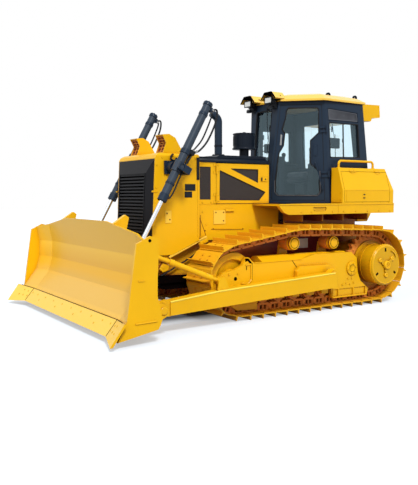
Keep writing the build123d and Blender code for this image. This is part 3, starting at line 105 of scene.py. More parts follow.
class Shader:
    """A material and the nodes that make its finish."""

    def __init__(self, name):
        self.material = bpy.data.materials.new(name)
        self.material.use_nodes = True
        self.tree = self.material.node_tree
        self.tree.nodes.clear()
        self.output = self.tree.nodes.new("ShaderNodeOutputMaterial")
        self.place = Signal(self, self.tree.nodes.new("ShaderNodeTexCoord").outputs["Object"])

    def add(self, kind, settings, sockets):
        """A node of a kind, with its settings made first and then its sockets' values or links."""
        node = self.tree.nodes.new(kind)
        for key, value in (settings or {}).items():
            if key == "stops":
                stops = node.color_ramp.elements
                for index, (position, color) in enumerate(value):
                    stop = stops[index] if index < 2 else stops.new(position)
                    stop.position, stop.color = position, color
            else:
                setattr(node, key, value)
        pairs = sockets.items() if isinstance(sockets, dict) else enumerate(sockets or ())
        for key, value in pairs:
            if isinstance(value, Signal):
                self.tree.links.new(value.socket, node.inputs[key])
            else:
                node.inputs[key].default_value = value
        return Outputs(self, node)

    def noise(self, scale, detail, roughness, stretch=None):
        """Noise over the piece, from 0 to 1."""
        place = self.place
        if stretch:
            place = self.add("ShaderNodeMapping", None,
                {"Vector": place, "Scale": stretch})["Vector"]
        return self.add("ShaderNodeTexNoise", None, {"Vector": place, "Scale": scale,
            "Detail": detail, "Roughness": roughness})["Fac"]

    def mix(self, share, first, second):
        """Two colours blended by a share."""
        node = self.tree.nodes.new("ShaderNodeMix")
        node.data_type = "RGBA"
        for socket, value in ((node.inputs[0], share), (node.inputs[6], first),
                (node.inputs[7], second)):
            if isinstance(value, Signal):
                self.tree.links.new(value.socket, socket)
            else:
                socket.default_value = value
        return Signal(self, node.outputs[2])

    def bump(self, height, strength, distance):
        return self.add("ShaderNodeBump", None, {"Height": height, "Strength": strength,
            "Distance": distance})["Normal"]

    def surface(self, **sockets):
        """The closing Principled BSDF, its sockets named with underscores for spaces."""
        named = {key.replace("_", " "): value for key, value in sockets.items()}
        bsdf = self.add("ShaderNodeBsdfPrincipled", None, named)
        self.tree.links.new(bsdf["BSDF"].socket, self.output.inputs["Surface"])
        return self.material


def linear(red, green, blue):
    """A colour in 0 to 255, as the linear values that a shader takes."""
    def channel(value):
        value /= 255.0
        return value / 12.92 if value <= 0.04045 else ((value + 0.055) / 1.055) ** 2.4
    return (channel(red), channel(green), channel(blue), 1.0)


def shaded(color, factor):
    return tuple((min(1.0, part * factor) for part in color[:3])) + (1.0,)


# ---------------------------------------------------------------- finishes
FINISHES = {}


def edge_wear_and_highlight(shader, width):
    """1 where the surface turns sharply, told by how a rounded normal differs from the true."""
    rounded = shader.add("ShaderNodeBevel", {"samples": 4}, {"Radius": width})["Normal"]
    true = Signal(shader, shader.tree.nodes.new("ShaderNodeNewGeometry").outputs["Normal"])
    dot = shader.add("ShaderNodeVectorMath", {"operation": "DOT_PRODUCT"},
        (rounded, true))["Value"]
    return (1.0 - dot).between(0.02, 0.18)


def corner_shade_and_grime(shader, reach):
    """1 deep in corners, joints and recesses, 0 on open faces: the mask of painted shade with some
    grime.
    """
    open_share = shader.add("ShaderNodeAmbientOcclusion", {"samples": 4},
        {"Distance": reach})["AO"]
    return 1.0 - open_share.between(0.3, 0.86)


def low_dust(shader, top):
    """1 at the ground, fading out by a height, broken up by noise."""
    height = shader.add("ShaderNodeSeparateXYZ", None, (shader.place,))["Z"]
    return (1.0 - height.between(0.0, top)) * shader.noise(9.0, 5.0, 0.65).between(0.35, 0.75)


def paint(name, color, wear_and_highlight, dust, roughness=0.34, coat=0.04, gloss=0.18, painted_light_bands=(), grime_and_shade=0.75,
        reach=0.09, shade_and_grime_color=None, shadow_pockets=()):
    """Sprayed enamel: slow drift of colour, orange peel, edges lightened as part wear and part
    painted highlight, corners and recesses darkened as painted shade with some grime, and dust low
    down.

    The light bands are (height from, height to, colour) bands of painted light and shade that fade
    in upwards on faces that look forward. The shadow pockets are ((y from, y to), (z from, z to))
    boxes of painted shadow: the shade colour fades in along y and out upwards, and ends before the
    machine's tail.
    """
    shader = Shader(name)
    drift = shader.noise(2.3, 4.0, 0.6).between(0.25, 0.75)
    fine = shader.noise(38.0, 3.0, 0.55)
    body = shader.mix(drift, color, shaded(color, 0.93))
    # painted light and shade: colour bands up the height of the faces that look forward
    if painted_light_bands:
        height = shader.add("ShaderNodeSeparateXYZ", None, (shader.place,))["Z"]
        facing = Signal(shader, shader.tree.nodes.new("ShaderNodeNewGeometry").outputs["Normal"])
        forward = (shader.add("ShaderNodeSeparateXYZ", None, (facing,))["Y"] * -1.0).between(0.35,
            0.75)
        front = color
        for low, high, tone in painted_light_bands:
            front = shader.mix(height.between(low, high), front, tone)
        body = shader.mix(forward, body, front)
    # edges lightened: partly rubbed wear, partly a painted highlight
    rubbed_and_highlit = edge_wear_and_highlight(shader, 0.01) * shader.noise(26.0, 4.0, 0.7).between(0.3, 0.55)
    body = shader.mix(rubbed_and_highlit * wear_and_highlight, body, shaded(color, 1.45))
    # painted shade with some grime: corners and recesses take a dark reddish copy of the paint
    shade_and_grime_color = shade_and_grime_color or (color[0] * 0.28, color[1] * 0.14, color[2] * 0.3, 1.0)
    body = shader.mix(corner_shade_and_grime(shader, reach) * grime_and_shade, body, shade_and_grime_color)
    # painted shadow in each pocket box
    for (y_from, y_to), (z_from, z_to) in shadow_pockets:
        spot = shader.add("ShaderNodeSeparateXYZ", None, (shader.place,))
        painted_shadow = spot["Y"].between(y_from, y_to) * (1.0 - spot["Z"].between(z_from, z_to))
        painted_shadow = painted_shadow * (1.0 - spot["Y"].between(1.8, 2.05))
        body = shader.mix(painted_shadow * 0.85, body, shade_and_grime_color)
    body = shader.mix(low_dust(shader, 0.55) * dust, body, linear(150, 120, 84))
    rough = fine * 0.1 + (roughness - 0.05) + low_dust(shader, 0.55) * 0.25
    peel = shader.bump(shader.noise(420.0, 2.0, 0.5), 0.08, 0.0004)
    FINISHES[name] = shader.surface(Base_Color=body, Roughness=rough, Normal=peel,
        Coat_Weight=coat, Coat_Roughness=0.12, Specular_IOR_Level=gloss)


def bare_metal(name, color, roughness, metallic=1.0, depth=0.0005):
    shader = Shader(name)
    streak = shader.noise(60.0, 4.0, 0.6)
    body = shader.mix(streak.between(0.3, 0.7), color, shaded(color, 0.8))
    normal = shader.bump(streak, 0.15, depth)
    FINISHES[name] = shader.surface(Base_Color=body, Metallic=metallic,
        Roughness=streak * 0.16 + roughness, Normal=normal)


def moulded(name, color, roughness=0.5, strength=0.25, gloss=0.2):
    """Moulded plastic or rubber with a fine grain."""
    shader = Shader(name)
    body = shader.mix(shader.noise(6.0, 3.0, 0.6).between(0.3, 0.7), color, shaded(color, 1.35))
    normal = shader.bump(shader.noise(260.0, 2.0, 0.5), strength, 0.0008)
    FINISHES[name] = shader.surface(Base_Color=body, Roughness=shader.noise(20.0, 3.0, 0.6) * 0.15
        + (roughness - 0.07), Normal=normal, Specular_IOR_Level=gloss)


def mesh_screen(name, color):
    """A screen of round holes in rows 12 mm apart, the holes painted dark as the shade behind it.
    """
    shader = Shader(name)
    holes = shader.add("ShaderNodeTexVoronoi", {"feature": "F1"},
        {"Vector": shader.place, "Scale": 1.0 / 0.012, "Randomness": 0.0})["Distance"]
    open_part = 1.0 - holes.between(0.3, 0.4)
    body = shader.mix(open_part, color, shaded(color, 0.18))
    normal = shader.bump(holes.between(0.25, 0.45), 0.8, 0.002)
    FINISHES[name] = shader.surface(Base_Color=body, Roughness=0.55, Normal=normal,
        Specular_IOR_Level=0.2)


def pane(name, tint):
    """Tinted safety glass: mostly see-through, with a clear reflection."""
    shader = Shader(name)
    clear = shader.add("ShaderNodeBsdfTransparent", None, {"Color": tint})["BSDF"]
    gloss = shader.add("ShaderNodeBsdfGlossy", None,
        {"Color": (0.62, 0.88, 1.0, 1.0), "Roughness": 0.04})["BSDF"]
    fresnel = shader.add("ShaderNodeFresnel", None, {"IOR": 1.5})["Fac"]
    outer = 1.0 - Signal(shader,
        shader.tree.nodes.new("ShaderNodeNewGeometry").outputs["Backfacing"])
    mixed = shader.add("ShaderNodeMixShader", None, ((fresnel * 0.8 + 0.055) * outer, clear,
        gloss))["Shader"]
    shader.tree.links.new(mixed.socket, shader.output.inputs["Surface"])
    FINISHES[name] = shader.material


def lamp_lens(name, color):
    shader = Shader(name)
    ribs = shader.noise(160.0, 1.0, 0.4, stretch=(1.0, 1.0, 0.1))
    normal = shader.bump(ribs, 0.5, 0.001)
    FINISHES[name] = shader.surface(Base_Color=color, Roughness=0.12, Normal=normal,
        Coat_Weight=0.6, Metallic=0.35)


def woven(name, color):
    shader = Shader(name)
    weave = shader.add("ShaderNodeTexWave", {"wave_type": "BANDS", "bands_direction": "DIAGONAL"},
        {"Vector": shader.place, "Scale": 190.0, "Distortion": 1.5, "Detail": 1.0})["Fac"]
    body = shader.mix(weave, color, shaded(color, 1.5))
    FINISHES[name] = shader.surface(Base_Color=body, Roughness=0.85, Sheen_Weight=0.3,
        Normal=shader.bump(weave, 0.4, 0.001))


# ---------------------------------------------------------------- pieces
def mesh_from(bm, name):
    """A mesh made from a bmesh, which is let go."""
    mesh = bpy.data.meshes.new(name)
    bm.to_mesh(mesh)
    bm.free()
    return mesh


def object_from(data, name):
    """A mesh, light or camera put into the scene."""
    piece = bpy.data.objects.new(name, data)
    bpy.context.scene.collection.objects.link(piece)
    return piece


def turned_to(point, out):
    """The place of a shape whose own z axis is to point along a direction."""
    return Matrix.Translation(point) @ out.to_track_quat("Z", "Y").to_matrix().to_4x4()


def piece_from(bm, name, body, finish, smooth=False):
    """Close a bmesh into a piece that rides on a body."""
    bmesh.ops.remove_doubles(bm, verts=bm.verts, dist=2e-05)
    bmesh.ops.recalc_face_normals(bm, faces=bm.faces)
    if smooth:
        for face in bm.faces:
            face.smooth = True
        for edge in bm.edges:
            if len(edge.link_faces) == 2 and edge.calc_face_angle(0.0) > radians(35.0):
                edge.smooth = False
    piece = object_from(mesh_from(bm, name), name)
    piece.data.materials.append(FINISHES[finish])
    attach(piece, body)
    return piece


def bolts(bm, points, out, radius, height, corners=6, lean=0.85):
    """Small bolt heads at points, all facing out."""
    out = Vector(out).normalized()
    for point in points:
        bmesh.ops.create_cone(bm, cap_ends=True, segments=corners, radius1=radius,
            radius2=radius * lean, depth=height, matrix=turned_to(Vector(point) + out
            * (height / 2), out))


def rod(bm, start, end, radius, segments, radius_end=None):
    """A straight round bar."""
    start, end = Vector(start), Vector(end)
    run = end - start
    bmesh.ops.create_cone(bm, cap_ends=True, segments=segments, radius1=radius, radius2=radius
        if radius_end is None else radius_end, depth=run.length,
        matrix=turned_to((start + end) / 2, run))


def block(bm, low, high, bevel=0.0, segments=2):
    """A block between two corners, its edges rounded."""
    low, high = Vector(low), Vector(high)
    size = high - low
    matrix = Matrix.Translation((low + high) / 2) @ Matrix.Diagonal((*[abs(part) for part in size],
        1.0))
    verts = bmesh.ops.create_cube(bm, size=1.0, matrix=matrix)["verts"]
    if bevel:
        edges = list({edge for vert in verts for edge in vert.link_edges})
        bmesh.ops.bevel(bm, geom=edges, offset=bevel, segments=segments, profile=0.5,
            affect="EDGES", material=-1)


def curve(points, per_run=10):
    """Points along a smooth line through the given ones."""
    points = [Vector(point) for point in points]
    padded = [points[0] * 2 - points[1], *points, points[-1] * 2 - points[-2]]
    route = []
    for a, b, c, d in zip(padded, padded[1:], padded[2:], padded[3:]):
        for step in range(per_run):
            t = step / per_run
            route.append(0.5 * (2 * b + (c - a) * t + (2 * a - 5 * b + 4 * c - d) * t * t
                + (3 * b - a - 3 * c + d) * t * t * t))
    return route + [points[-1]]


def tube(bm, route, radius, segments):
    """A closed tube that follows a route, by extruding a ring from point to point."""
    start = (route[1] - route[0]).to_track_quat("Z", "Y")
    matrix = Matrix.Translation(route[0]) @ start.to_matrix().to_4x4()
    ring = bmesh.ops.create_circle(bm, cap_ends=True, segments=segments, radius=radius,
        matrix=matrix)["verts"]
    heading = (route[1] - route[0]).normalized()
    edges = [edge for edge in bm.edges if edge.verts[0] in ring and edge.verts[1] in ring]
    for index in range(1, len(route)):
        following = route[min(index + 1, len(route) - 1)] - route[index - 1]
        following.normalize()
        made = bmesh.ops.extrude_edge_only(bm, edges=edges)["geom"]
        verts = [part for part in made if isinstance(part, bmesh.types.BMVert)]
        edges = [part for part in made if isinstance(part, bmesh.types.BMEdge)]
        bmesh.ops.translate(bm, verts=verts, vec=route[index] - route[index - 1])
        bmesh.ops.rotate(bm, verts=verts, cent=route[index],
            matrix=heading.rotation_difference(following).to_matrix())
        heading = following
    bmesh.ops.contextual_create(bm, geom=edges)


def mirrored(bm):
    """Add the right-hand copy of everything in a bmesh."""
    copy = bmesh.ops.duplicate(bm, geom=bm.verts[:] + bm.edges[:] + bm.faces[:])["geom"]
    verts = [part for part in copy if isinstance(part, bmesh.types.BMVert)]
    bmesh.ops.scale(bm, vec=(-1.0, 1.0, 1.0), verts=verts)
    bmesh.ops.reverse_faces(bm, faces=[part for part in copy
        if isinstance(part, bmesh.types.BMFace)])


# ---------------------------------------------------------------- sizes shared by the fittings
TRACK_X = 0.94
SHOE_HALF = 0.28
PIN_TO_PLATE, PLATE_T, GROUSER_H = 0.05, 0.014, 0.056
RAIL_IN, RAIL_OUT = 0.06, 0.105
SPROCKET_LINKS, PITCH = 14, 0.203
HUB = Vector((1.31, 1.985, 0.582))
# outer face of a track frame
PLATE_OUT = 1.12
# idler, carriers, sprocket and end rollers that the chain's pins go round, as (y, z, radius)
WHEELS = ((-0.592, 0.526, hypot(0.3903, PITCH / 2)), (0.431, 0.947, 0.144), (1.168, 0.928, 0.144),
    (1.985, 0.582, PITCH / (2 * sin(pi / SPROCKET_LINKS))), (1.662, 0.2623, 0.1423),
    (-0.26, 0.2623, 0.1423))


ARM_IN_X, ARM_OUT_X = 1.27, 1.42


def chain_pins():
    """Evenly spaced pins of the chain round its wheels, as (y, z)."""
    stretches = []
    for (y0, z0, r0), (y1, z1, r1) in zip(WHEELS, WHEELS[1:] + WHEELS[:1]):
        normal = atan2(z1 - z0, y1 - y0) + acos((r0 - r1) / hypot(y1 - y0, z1 - z0))
        start = Vector((y0 + r0 * cos(normal), z0 + r0 * sin(normal)))
        stretches.append((start, Vector((y1 + r1 * cos(normal), z1 + r1 * sin(normal))), normal,
            (y1, z1, r1)))
    lengths = []
    for index, (start, end, normal, _) in enumerate(stretches):
        turn = (normal - stretches[(index + 1) % len(stretches)][2]) % (2 * pi)
        lengths.append(((end - start).length, turn))
    total = sum((length + turn * stretch[3][2] for (length, turn),
        stretch in zip(lengths, stretches)))
    count = round(total / PITCH)
    pins = []
    for step in range(count):
        along = total * step / count
        for (start, end, normal, (y, z, radius)), (length, turn) in zip(stretches, lengths):
            if along <= length:
                pins.append(start.lerp(end, along / length))
                break
            along -= length
            if along <= turn * radius:
                angle = normal - along / radius
                pins.append(Vector((y + radius * cos(angle), z + radius * sin(angle))))
                break
            along -= turn * radius
    return pins


def prism(bm, outline, along, bevel=0.0):
    """A flat outline of 3-D points pushed along a direction, its edges bevelled."""
    verts = [bm.verts.new(Vector(point)) for point in outline]
    face = bm.faces.new(verts)
    made = bmesh.ops.extrude_face_region(bm, geom=[face])["geom"]
    far = [part for part in made if isinstance(part, bmesh.types.BMVert)]
    bmesh.ops.translate(bm, verts=far, vec=Vector(along))
    everything = verts + far
    faces = list({face for vert in everything for face in vert.link_faces})
    bmesh.ops.recalc_face_normals(bm, faces=faces)
    if bevel:
        edges = list({edge for vert in everything for edge in vert.link_edges})
        bmesh.ops.bevel(bm, geom=edges, offset=bevel, segments=1, profile=0.5, affect="EDGES",
            material=-1)


def at_x(x, places):
    """(y, z) places on a plane across the machine."""
    return [(x, y, z) for y, z in places]


def plate(bm, outline, x, thickness, bevel=0.0):
    """A plate parallel to the machine's side, from its (y, z) outline."""
    prism(bm, at_x(x, outline), (thickness, 0, 0), bevel)


def rods(bm, points, radius, segments=6):
    """A round bar from each point to the next."""
    for start, end in zip(points, points[1:]):
        rod(bm, start, end, radius, segments)


def circle(centre, radius, count, first=0.0, axis="x"):
    """Points spaced evenly round a centre, on a plane across x or z."""
    turns = [first + 2 * pi * index / count for index in range(count)]
    rims = [(radius * cos(turn), radius * sin(turn)) for turn in turns]
    return [Vector(centre) + Vector((0, *rim) if axis == "x" else (*rim, 0)) for rim in rims]


def washer(low, high, inner, outer):
    """The profile of a flat ring, or of a disc where inner is 0."""
    return (low, inner), (low, outer), (high, outer), (high, inner)


def turned(bm, centre, profile, segments, axis=X):
    """A turned ring or disc: (distance along the axis, radius) pairs spun round it."""
    centre, axis = Vector(centre), Vector(axis).normalized()
    side = axis.orthogonal().normalized()
    verts = [bm.verts.new(centre + axis * along + side * radius) for along, radius in profile]
    closed = profile[0][1] > 1e-06 and profile[-1][1] > 1e-06
    pairs = list(zip(verts, verts[1:])) + ([(verts[-1], verts[0])] if closed else [])
    edges = [bm.edges.new(pair) for pair in pairs]
    bmesh.ops.spin(bm, geom=verts + edges, cent=centre, axis=axis, angle=2 * pi, steps=segments,
        use_merge=True)


def lip(bm, low, high):
    block(bm, low, high, 0.002, 1)


FITTINGS = {}


def fitting(group, slot, finish=None, body="machine", whole=False, smooth=False):
    """Mark a builder, whose piece bears its name: the left side alone, or the whole."""
    def keep(build):
        row = (build, body, slot, finish or slot, whole, smooth)
        FITTINGS.setdefault(group, []).append(row)
        return build
    return keep


def fit(group):
    """Build a group's pieces: one for each side's body, or both sides in one on the machine."""
    for build, body, slot, finish, whole, smooth in FITTINGS[group]:
        for side, sign in SIDES if "{side}" in body else (("", 1.0),):
            bm = bmesh.new()
            build(bm)
            if sign < 0:
                bmesh.ops.scale(bm, vec=(-1.0, 1.0, 1.0), verts=bm.verts)
            elif not (side or whole):
                mirrored(bm)
            name = f"{build.__name__}_{side}" if side else build.__name__
            piece_from(bm, name, body.format(side=side), finish, smooth)
    return {"FINISHED"}


class Wall:
    """A plane of the cab's side: u along it, v up it and out from it, in metres."""

    def __init__(self, origin, along, rise):
        self.origin, self.x = Vector(origin), Vector(along).normalized()
        self.z = self.x.cross(Vector(rise)).normalized()
        self.y = self.z.cross(self.x)

    def at(self, u, v, out=0.0):
        return self.origin + self.x * u + self.y * v + self.z * out


def band_on(bm, wall, outline, width, low, high, corner=0.0):
    """A flat frame just inside an outline on a wall, its corners rounded."""
    before = set(bm.faces)
    corners = [bm.verts.new(wall.at(u, v, low)) for u, v in outline]
    bm.faces.new(corners).normal_update()
    if corner:
        bmesh.ops.bevel(bm, geom=corners, offset=corner, segments=4, profile=0.5,
            affect="VERTICES", material=-1)
    face = next((face for face in bm.faces if face not in before))
    ring = bmesh.ops.inset_region(bm, faces=[face], thickness=width, use_even_offset=True,
        use_boundary=True)["faces"]
    bmesh.ops.delete(bm, geom=[face], context="FACES")
    made = bmesh.ops.extrude_face_region(bm, geom=ring)["geom"]
    bmesh.ops.translate(bm, verts=[part for part in made if isinstance(part, bmesh.types.BMVert)],
        vec=wall.z * (high - low))


def slab_on(bm, wall, u_from, u_to, v_from, v_to, low, high, bevel):
    """A block on a wall."""
    outline = [wall.at(u, v, low) for u, v in ((u_from, v_from), (u_to, v_from), (u_to, v_to),
        (u_from, v_to))]
    prism(bm, outline, wall.z * (high - low), bevel)


# ---------------------------------------------------------------- settings
class DozerFinish(bpy.types.PropertyGroup):
    yellow: FloatVectorProperty(name="Body yellow",
        description="Enamel of the hull, blade and tracks", subtype="COLOR", size=4, min=0.0,
        max=1.0, default=linear(247, 187, 14))
    track: FloatVectorProperty(name="Track yellow", description="Enamel of the shoes",
        subtype="COLOR", size=4, min=0.0, max=1.0, default=linear(244, 180, 26))
    chain: FloatVectorProperty(name="Chain yellow",
        description="Enamel of the links and sprockets", subtype="COLOR", size=4, min=0.0, max=1.0,
        default=linear(232, 146, 62))
    cab: FloatVectorProperty(name="Cab blue-grey",
        description="Enamel of the cab's frame and cylinders", subtype="COLOR", size=4, min=0.0,
        max=1.0, default=linear(30, 45, 62))
    dark: FloatVectorProperty(name="Black enamel", description="Grille, hood cover and trim",
        subtype="COLOR", size=4, min=0.0, max=1.0, default=linear(10, 21, 34))
    screen: FloatVectorProperty(name="Vent screen", description="Pierced screens of the hood",
        subtype="COLOR", size=4, min=0.0, max=1.0, default=linear(66, 60, 58))
    # edge lightening of the paints: partly wear, partly a painted highlight
    wear_and_highlight: FloatProperty(name="Edge wear", description="How far edges are rubbed", default=0.15,
        min=0.0, max=1.0)
    dust: FloatProperty(name="Dust", description="How much dust lies low down", default=0.12,
        min=0.0, max=1.0)


class DozerStage(bpy.types.PropertyGroup):
    lens: FloatProperty(name="Focal length", description="Lens of the camera", default=47.86,
        min=10.0, max=200.0)
    eye: FloatVectorProperty(name="Camera place", description="Where the camera stands",
        subtype="TRANSLATION", unit="LENGTH", size=3, default=(7.795, -5.352, 1.611))
    heading: FloatProperty(name="Camera heading",
        description="Turn of the camera about the vertical", subtype="ANGLE",
        default=radians(56.9))
    pitch: FloatProperty(name="Camera pitch", description="Tilt of the camera below level",
        subtype="ANGLE", default=radians(4.24))
    sun: FloatProperty(name="Key light", description="Strength of the key light", default=2.5,
        min=0.0, max=20.0)
    sky: FloatProperty(name="Sky light", description="Strength of the light from all round",
        default=0.55, min=0.0, max=5.0)
    floor: FloatProperty(name="Floor", description="How pale the floor is", default=0.62, min=0.0,
        max=1.0)
    glow: FloatProperty(name="Floor glow", description="What the seen floor adds", default=0.42,
        min=0.0, max=1.0)


# rays that see the pale background instead of the light of the room
SEEN_RAYS = ("Is Camera Ray", "Is Glossy Ray", "Is Transmission Ray")


# ---------------------------------------------------------------- operators
class DOZER_OT_finishes(bpy.types.Operator):
    """Make the finishes and dress the CAD nodes in them"""
    bl_idname = "dozer.finishes"
    bl_label = "Finishes"

    def execute(self, context):
        look = context.scene.dozer_finish
        yellow, cab, dark = tuple(look.yellow), tuple(look.cab), tuple(look.dark)
        dusty, clean = ({"wear_and_highlight": look.wear_and_highlight, "dust": dust} for dust in (look.dust, 0.0))
        paint("yellow_paint", yellow, **dusty)
        paint("dark_paint", cab, roughness=0.42, **dusty, gloss=0.16)
        paint("barrel_paint", linear(54, 65, 78), roughness=0.42, **dusty)
        paint("black_paint", dark, roughness=0.45, **dusty, gloss=0.16)
        paint("grille_black", linear(20, 20, 24), roughness=0.5, coat=0.0, **clean, gloss=0.15)
        # the blade's front in bands of painted light and shade up its height
        paint("blade_paint", yellow, **clean, painted_light_bands=((0.0, 0.05, linear(252, 206, 88)),
            (0.24, 0.3, linear(230, 184, 84)), (0.46, 0.62, linear(242, 184, 44)),
            (0.74, 0.9, linear(252, 200, 62))))
        # a darker yellow for the final drives, with painted shade deep in their corners
        paint("hub_paint", shaded(yellow, 0.8), **clean, grime_and_shade=0.9, reach=0.26)
        # a paler, glossier yellow for the roof: the paleness is partly a painted highlight
        paint("roof_paint", linear(252, 200, 60), **clean, coat=0.7, gloss=0.5)
        # near-black louvres, darker than the grille's own black: painted shade between the louvres
        paint("louvre_black", linear(5, 5, 8), roughness=0.5, coat=0.0, wear_and_highlight=0.1, dust=0.0,
            gloss=0.1)
        mesh_screen("black_mesh", tuple(look.screen))
        bare_metal("steel", linear(172, 172, 170), 0.3)
        bare_metal("chrome", linear(232, 236, 240), 0.06, depth=0.0001)
        bare_metal("grey_iron", linear(92, 92, 94), 0.55, metallic=0.4)
        moulded("black_plastic", linear(18, 21, 26), strength=0.1)
        moulded("hose_rubber", linear(20, 20, 22), roughness=0.6)
        # red-brown darkening in the hollows of the shoes and links: partly grime, partly painted
        # shade
        paint("track_paint", tuple(look.track), roughness=0.42, wear_and_highlight=0.6, dust=look.dust,
            grime_and_shade=0.66, reach=0.16, shade_and_grime_color=linear(148, 74, 28))
        paint("chain_paint", tuple(look.chain), roughness=0.5, wear_and_highlight=0.7, dust=look.dust, grime_and_shade=0.3,
            reach=0.07, shade_and_grime_color=linear(92, 36, 18))
        # painted shade: deep maroon fills the hull's recesses, reaching 0.42 m; the frame also
        # takes painted shadow behind the track's top run and under the deck
        paint("hull_paint", yellow, **clean, grime_and_shade=1.0, reach=0.42, shade_and_grime_color=linear(126, 24, 36))
        paint("frame_paint", yellow, **clean, grime_and_shade=1.0, reach=0.42, shade_and_grime_color=linear(126, 24, 36),
            shadow_pockets=(((-0.55, -0.25), (1.02, 1.16)), ((0.45, 0.62), (1.38, 1.46))))
        paint("pale_plate", linear(228, 226, 218), roughness=0.6, wear_and_highlight=0.1, dust=0.0, grime_and_shade=0.3)
        # pale yellow: a painted highlight along the push arms' upper edges
        paint("edge_highlight", linear(255, 222, 84), **clean, grime_and_shade=0.3)
        # paler yellow: the cover plates' own colour, and a painted highlight on the hull's flange
        paint("plate_and_highlight_paint", linear(255, 208, 70), **clean)
        paint("bolt_shade", linear(120, 58, 16), roughness=0.5, wear_and_highlight=0.0, dust=0.0)
        # a darker copy of the body yellow, for the cutting edge's bolts
        paint("dark_bolt_yellow", shaded(yellow, 0.82), **clean)
        moulded("deep_shade", linear(7, 3, 3), roughness=0.8, gloss=0.02)
        # dark red-brown cells and orange-brown bars of the lamp pods: painted shade inside the
        # pods
        paint("grid_paint", linear(118, 46, 24), roughness=0.6, coat=0.0, wear_and_highlight=0.0, dust=0.0)
        paint("grid_bar", linear(214, 138, 44), roughness=0.5, coat=0.1, wear_and_highlight=0.0, dust=0.0)
        pane("glass", linear(247, 253, 255))
        moulded("vent_grey", linear(96, 98, 104), roughness=0.55)
        paint("roof_shade", linear(112, 46, 18), roughness=0.5, coat=0.0, wear_and_highlight=0.0, dust=0.0)
        lamp_lens("lamp_glass", linear(226, 228, 224))
        woven("seat_cloth", linear(34, 36, 42))
        slots = {row["node"]: row["material_slot"] for row in frame["record"]["subparts"]}
        # finishes that replace the slots, several with painted shade and highlight
        finish_of_node = {"sprockets": "chain_paint", "rollers": "chain_paint", "lamp_grids": "grid_paint",
            "grille": "grille_black", "barrel_left": "barrel_paint",
            "barrel_right": "barrel_paint", "precleaner": "black_paint",
            "final_drives": "hub_paint", "cab_roof": "roof_paint", "blade": "blade_paint",
            "cutting_edge": "blade_paint", "main_frame": "frame_paint", "decks": "hull_paint"}
        for name, node in frame["nodes"].items():
            node.data.materials.clear()
            node.data.materials.append(FINISHES[finish_of_node.get(name, slots[name])])
        return {"FINISHED"}


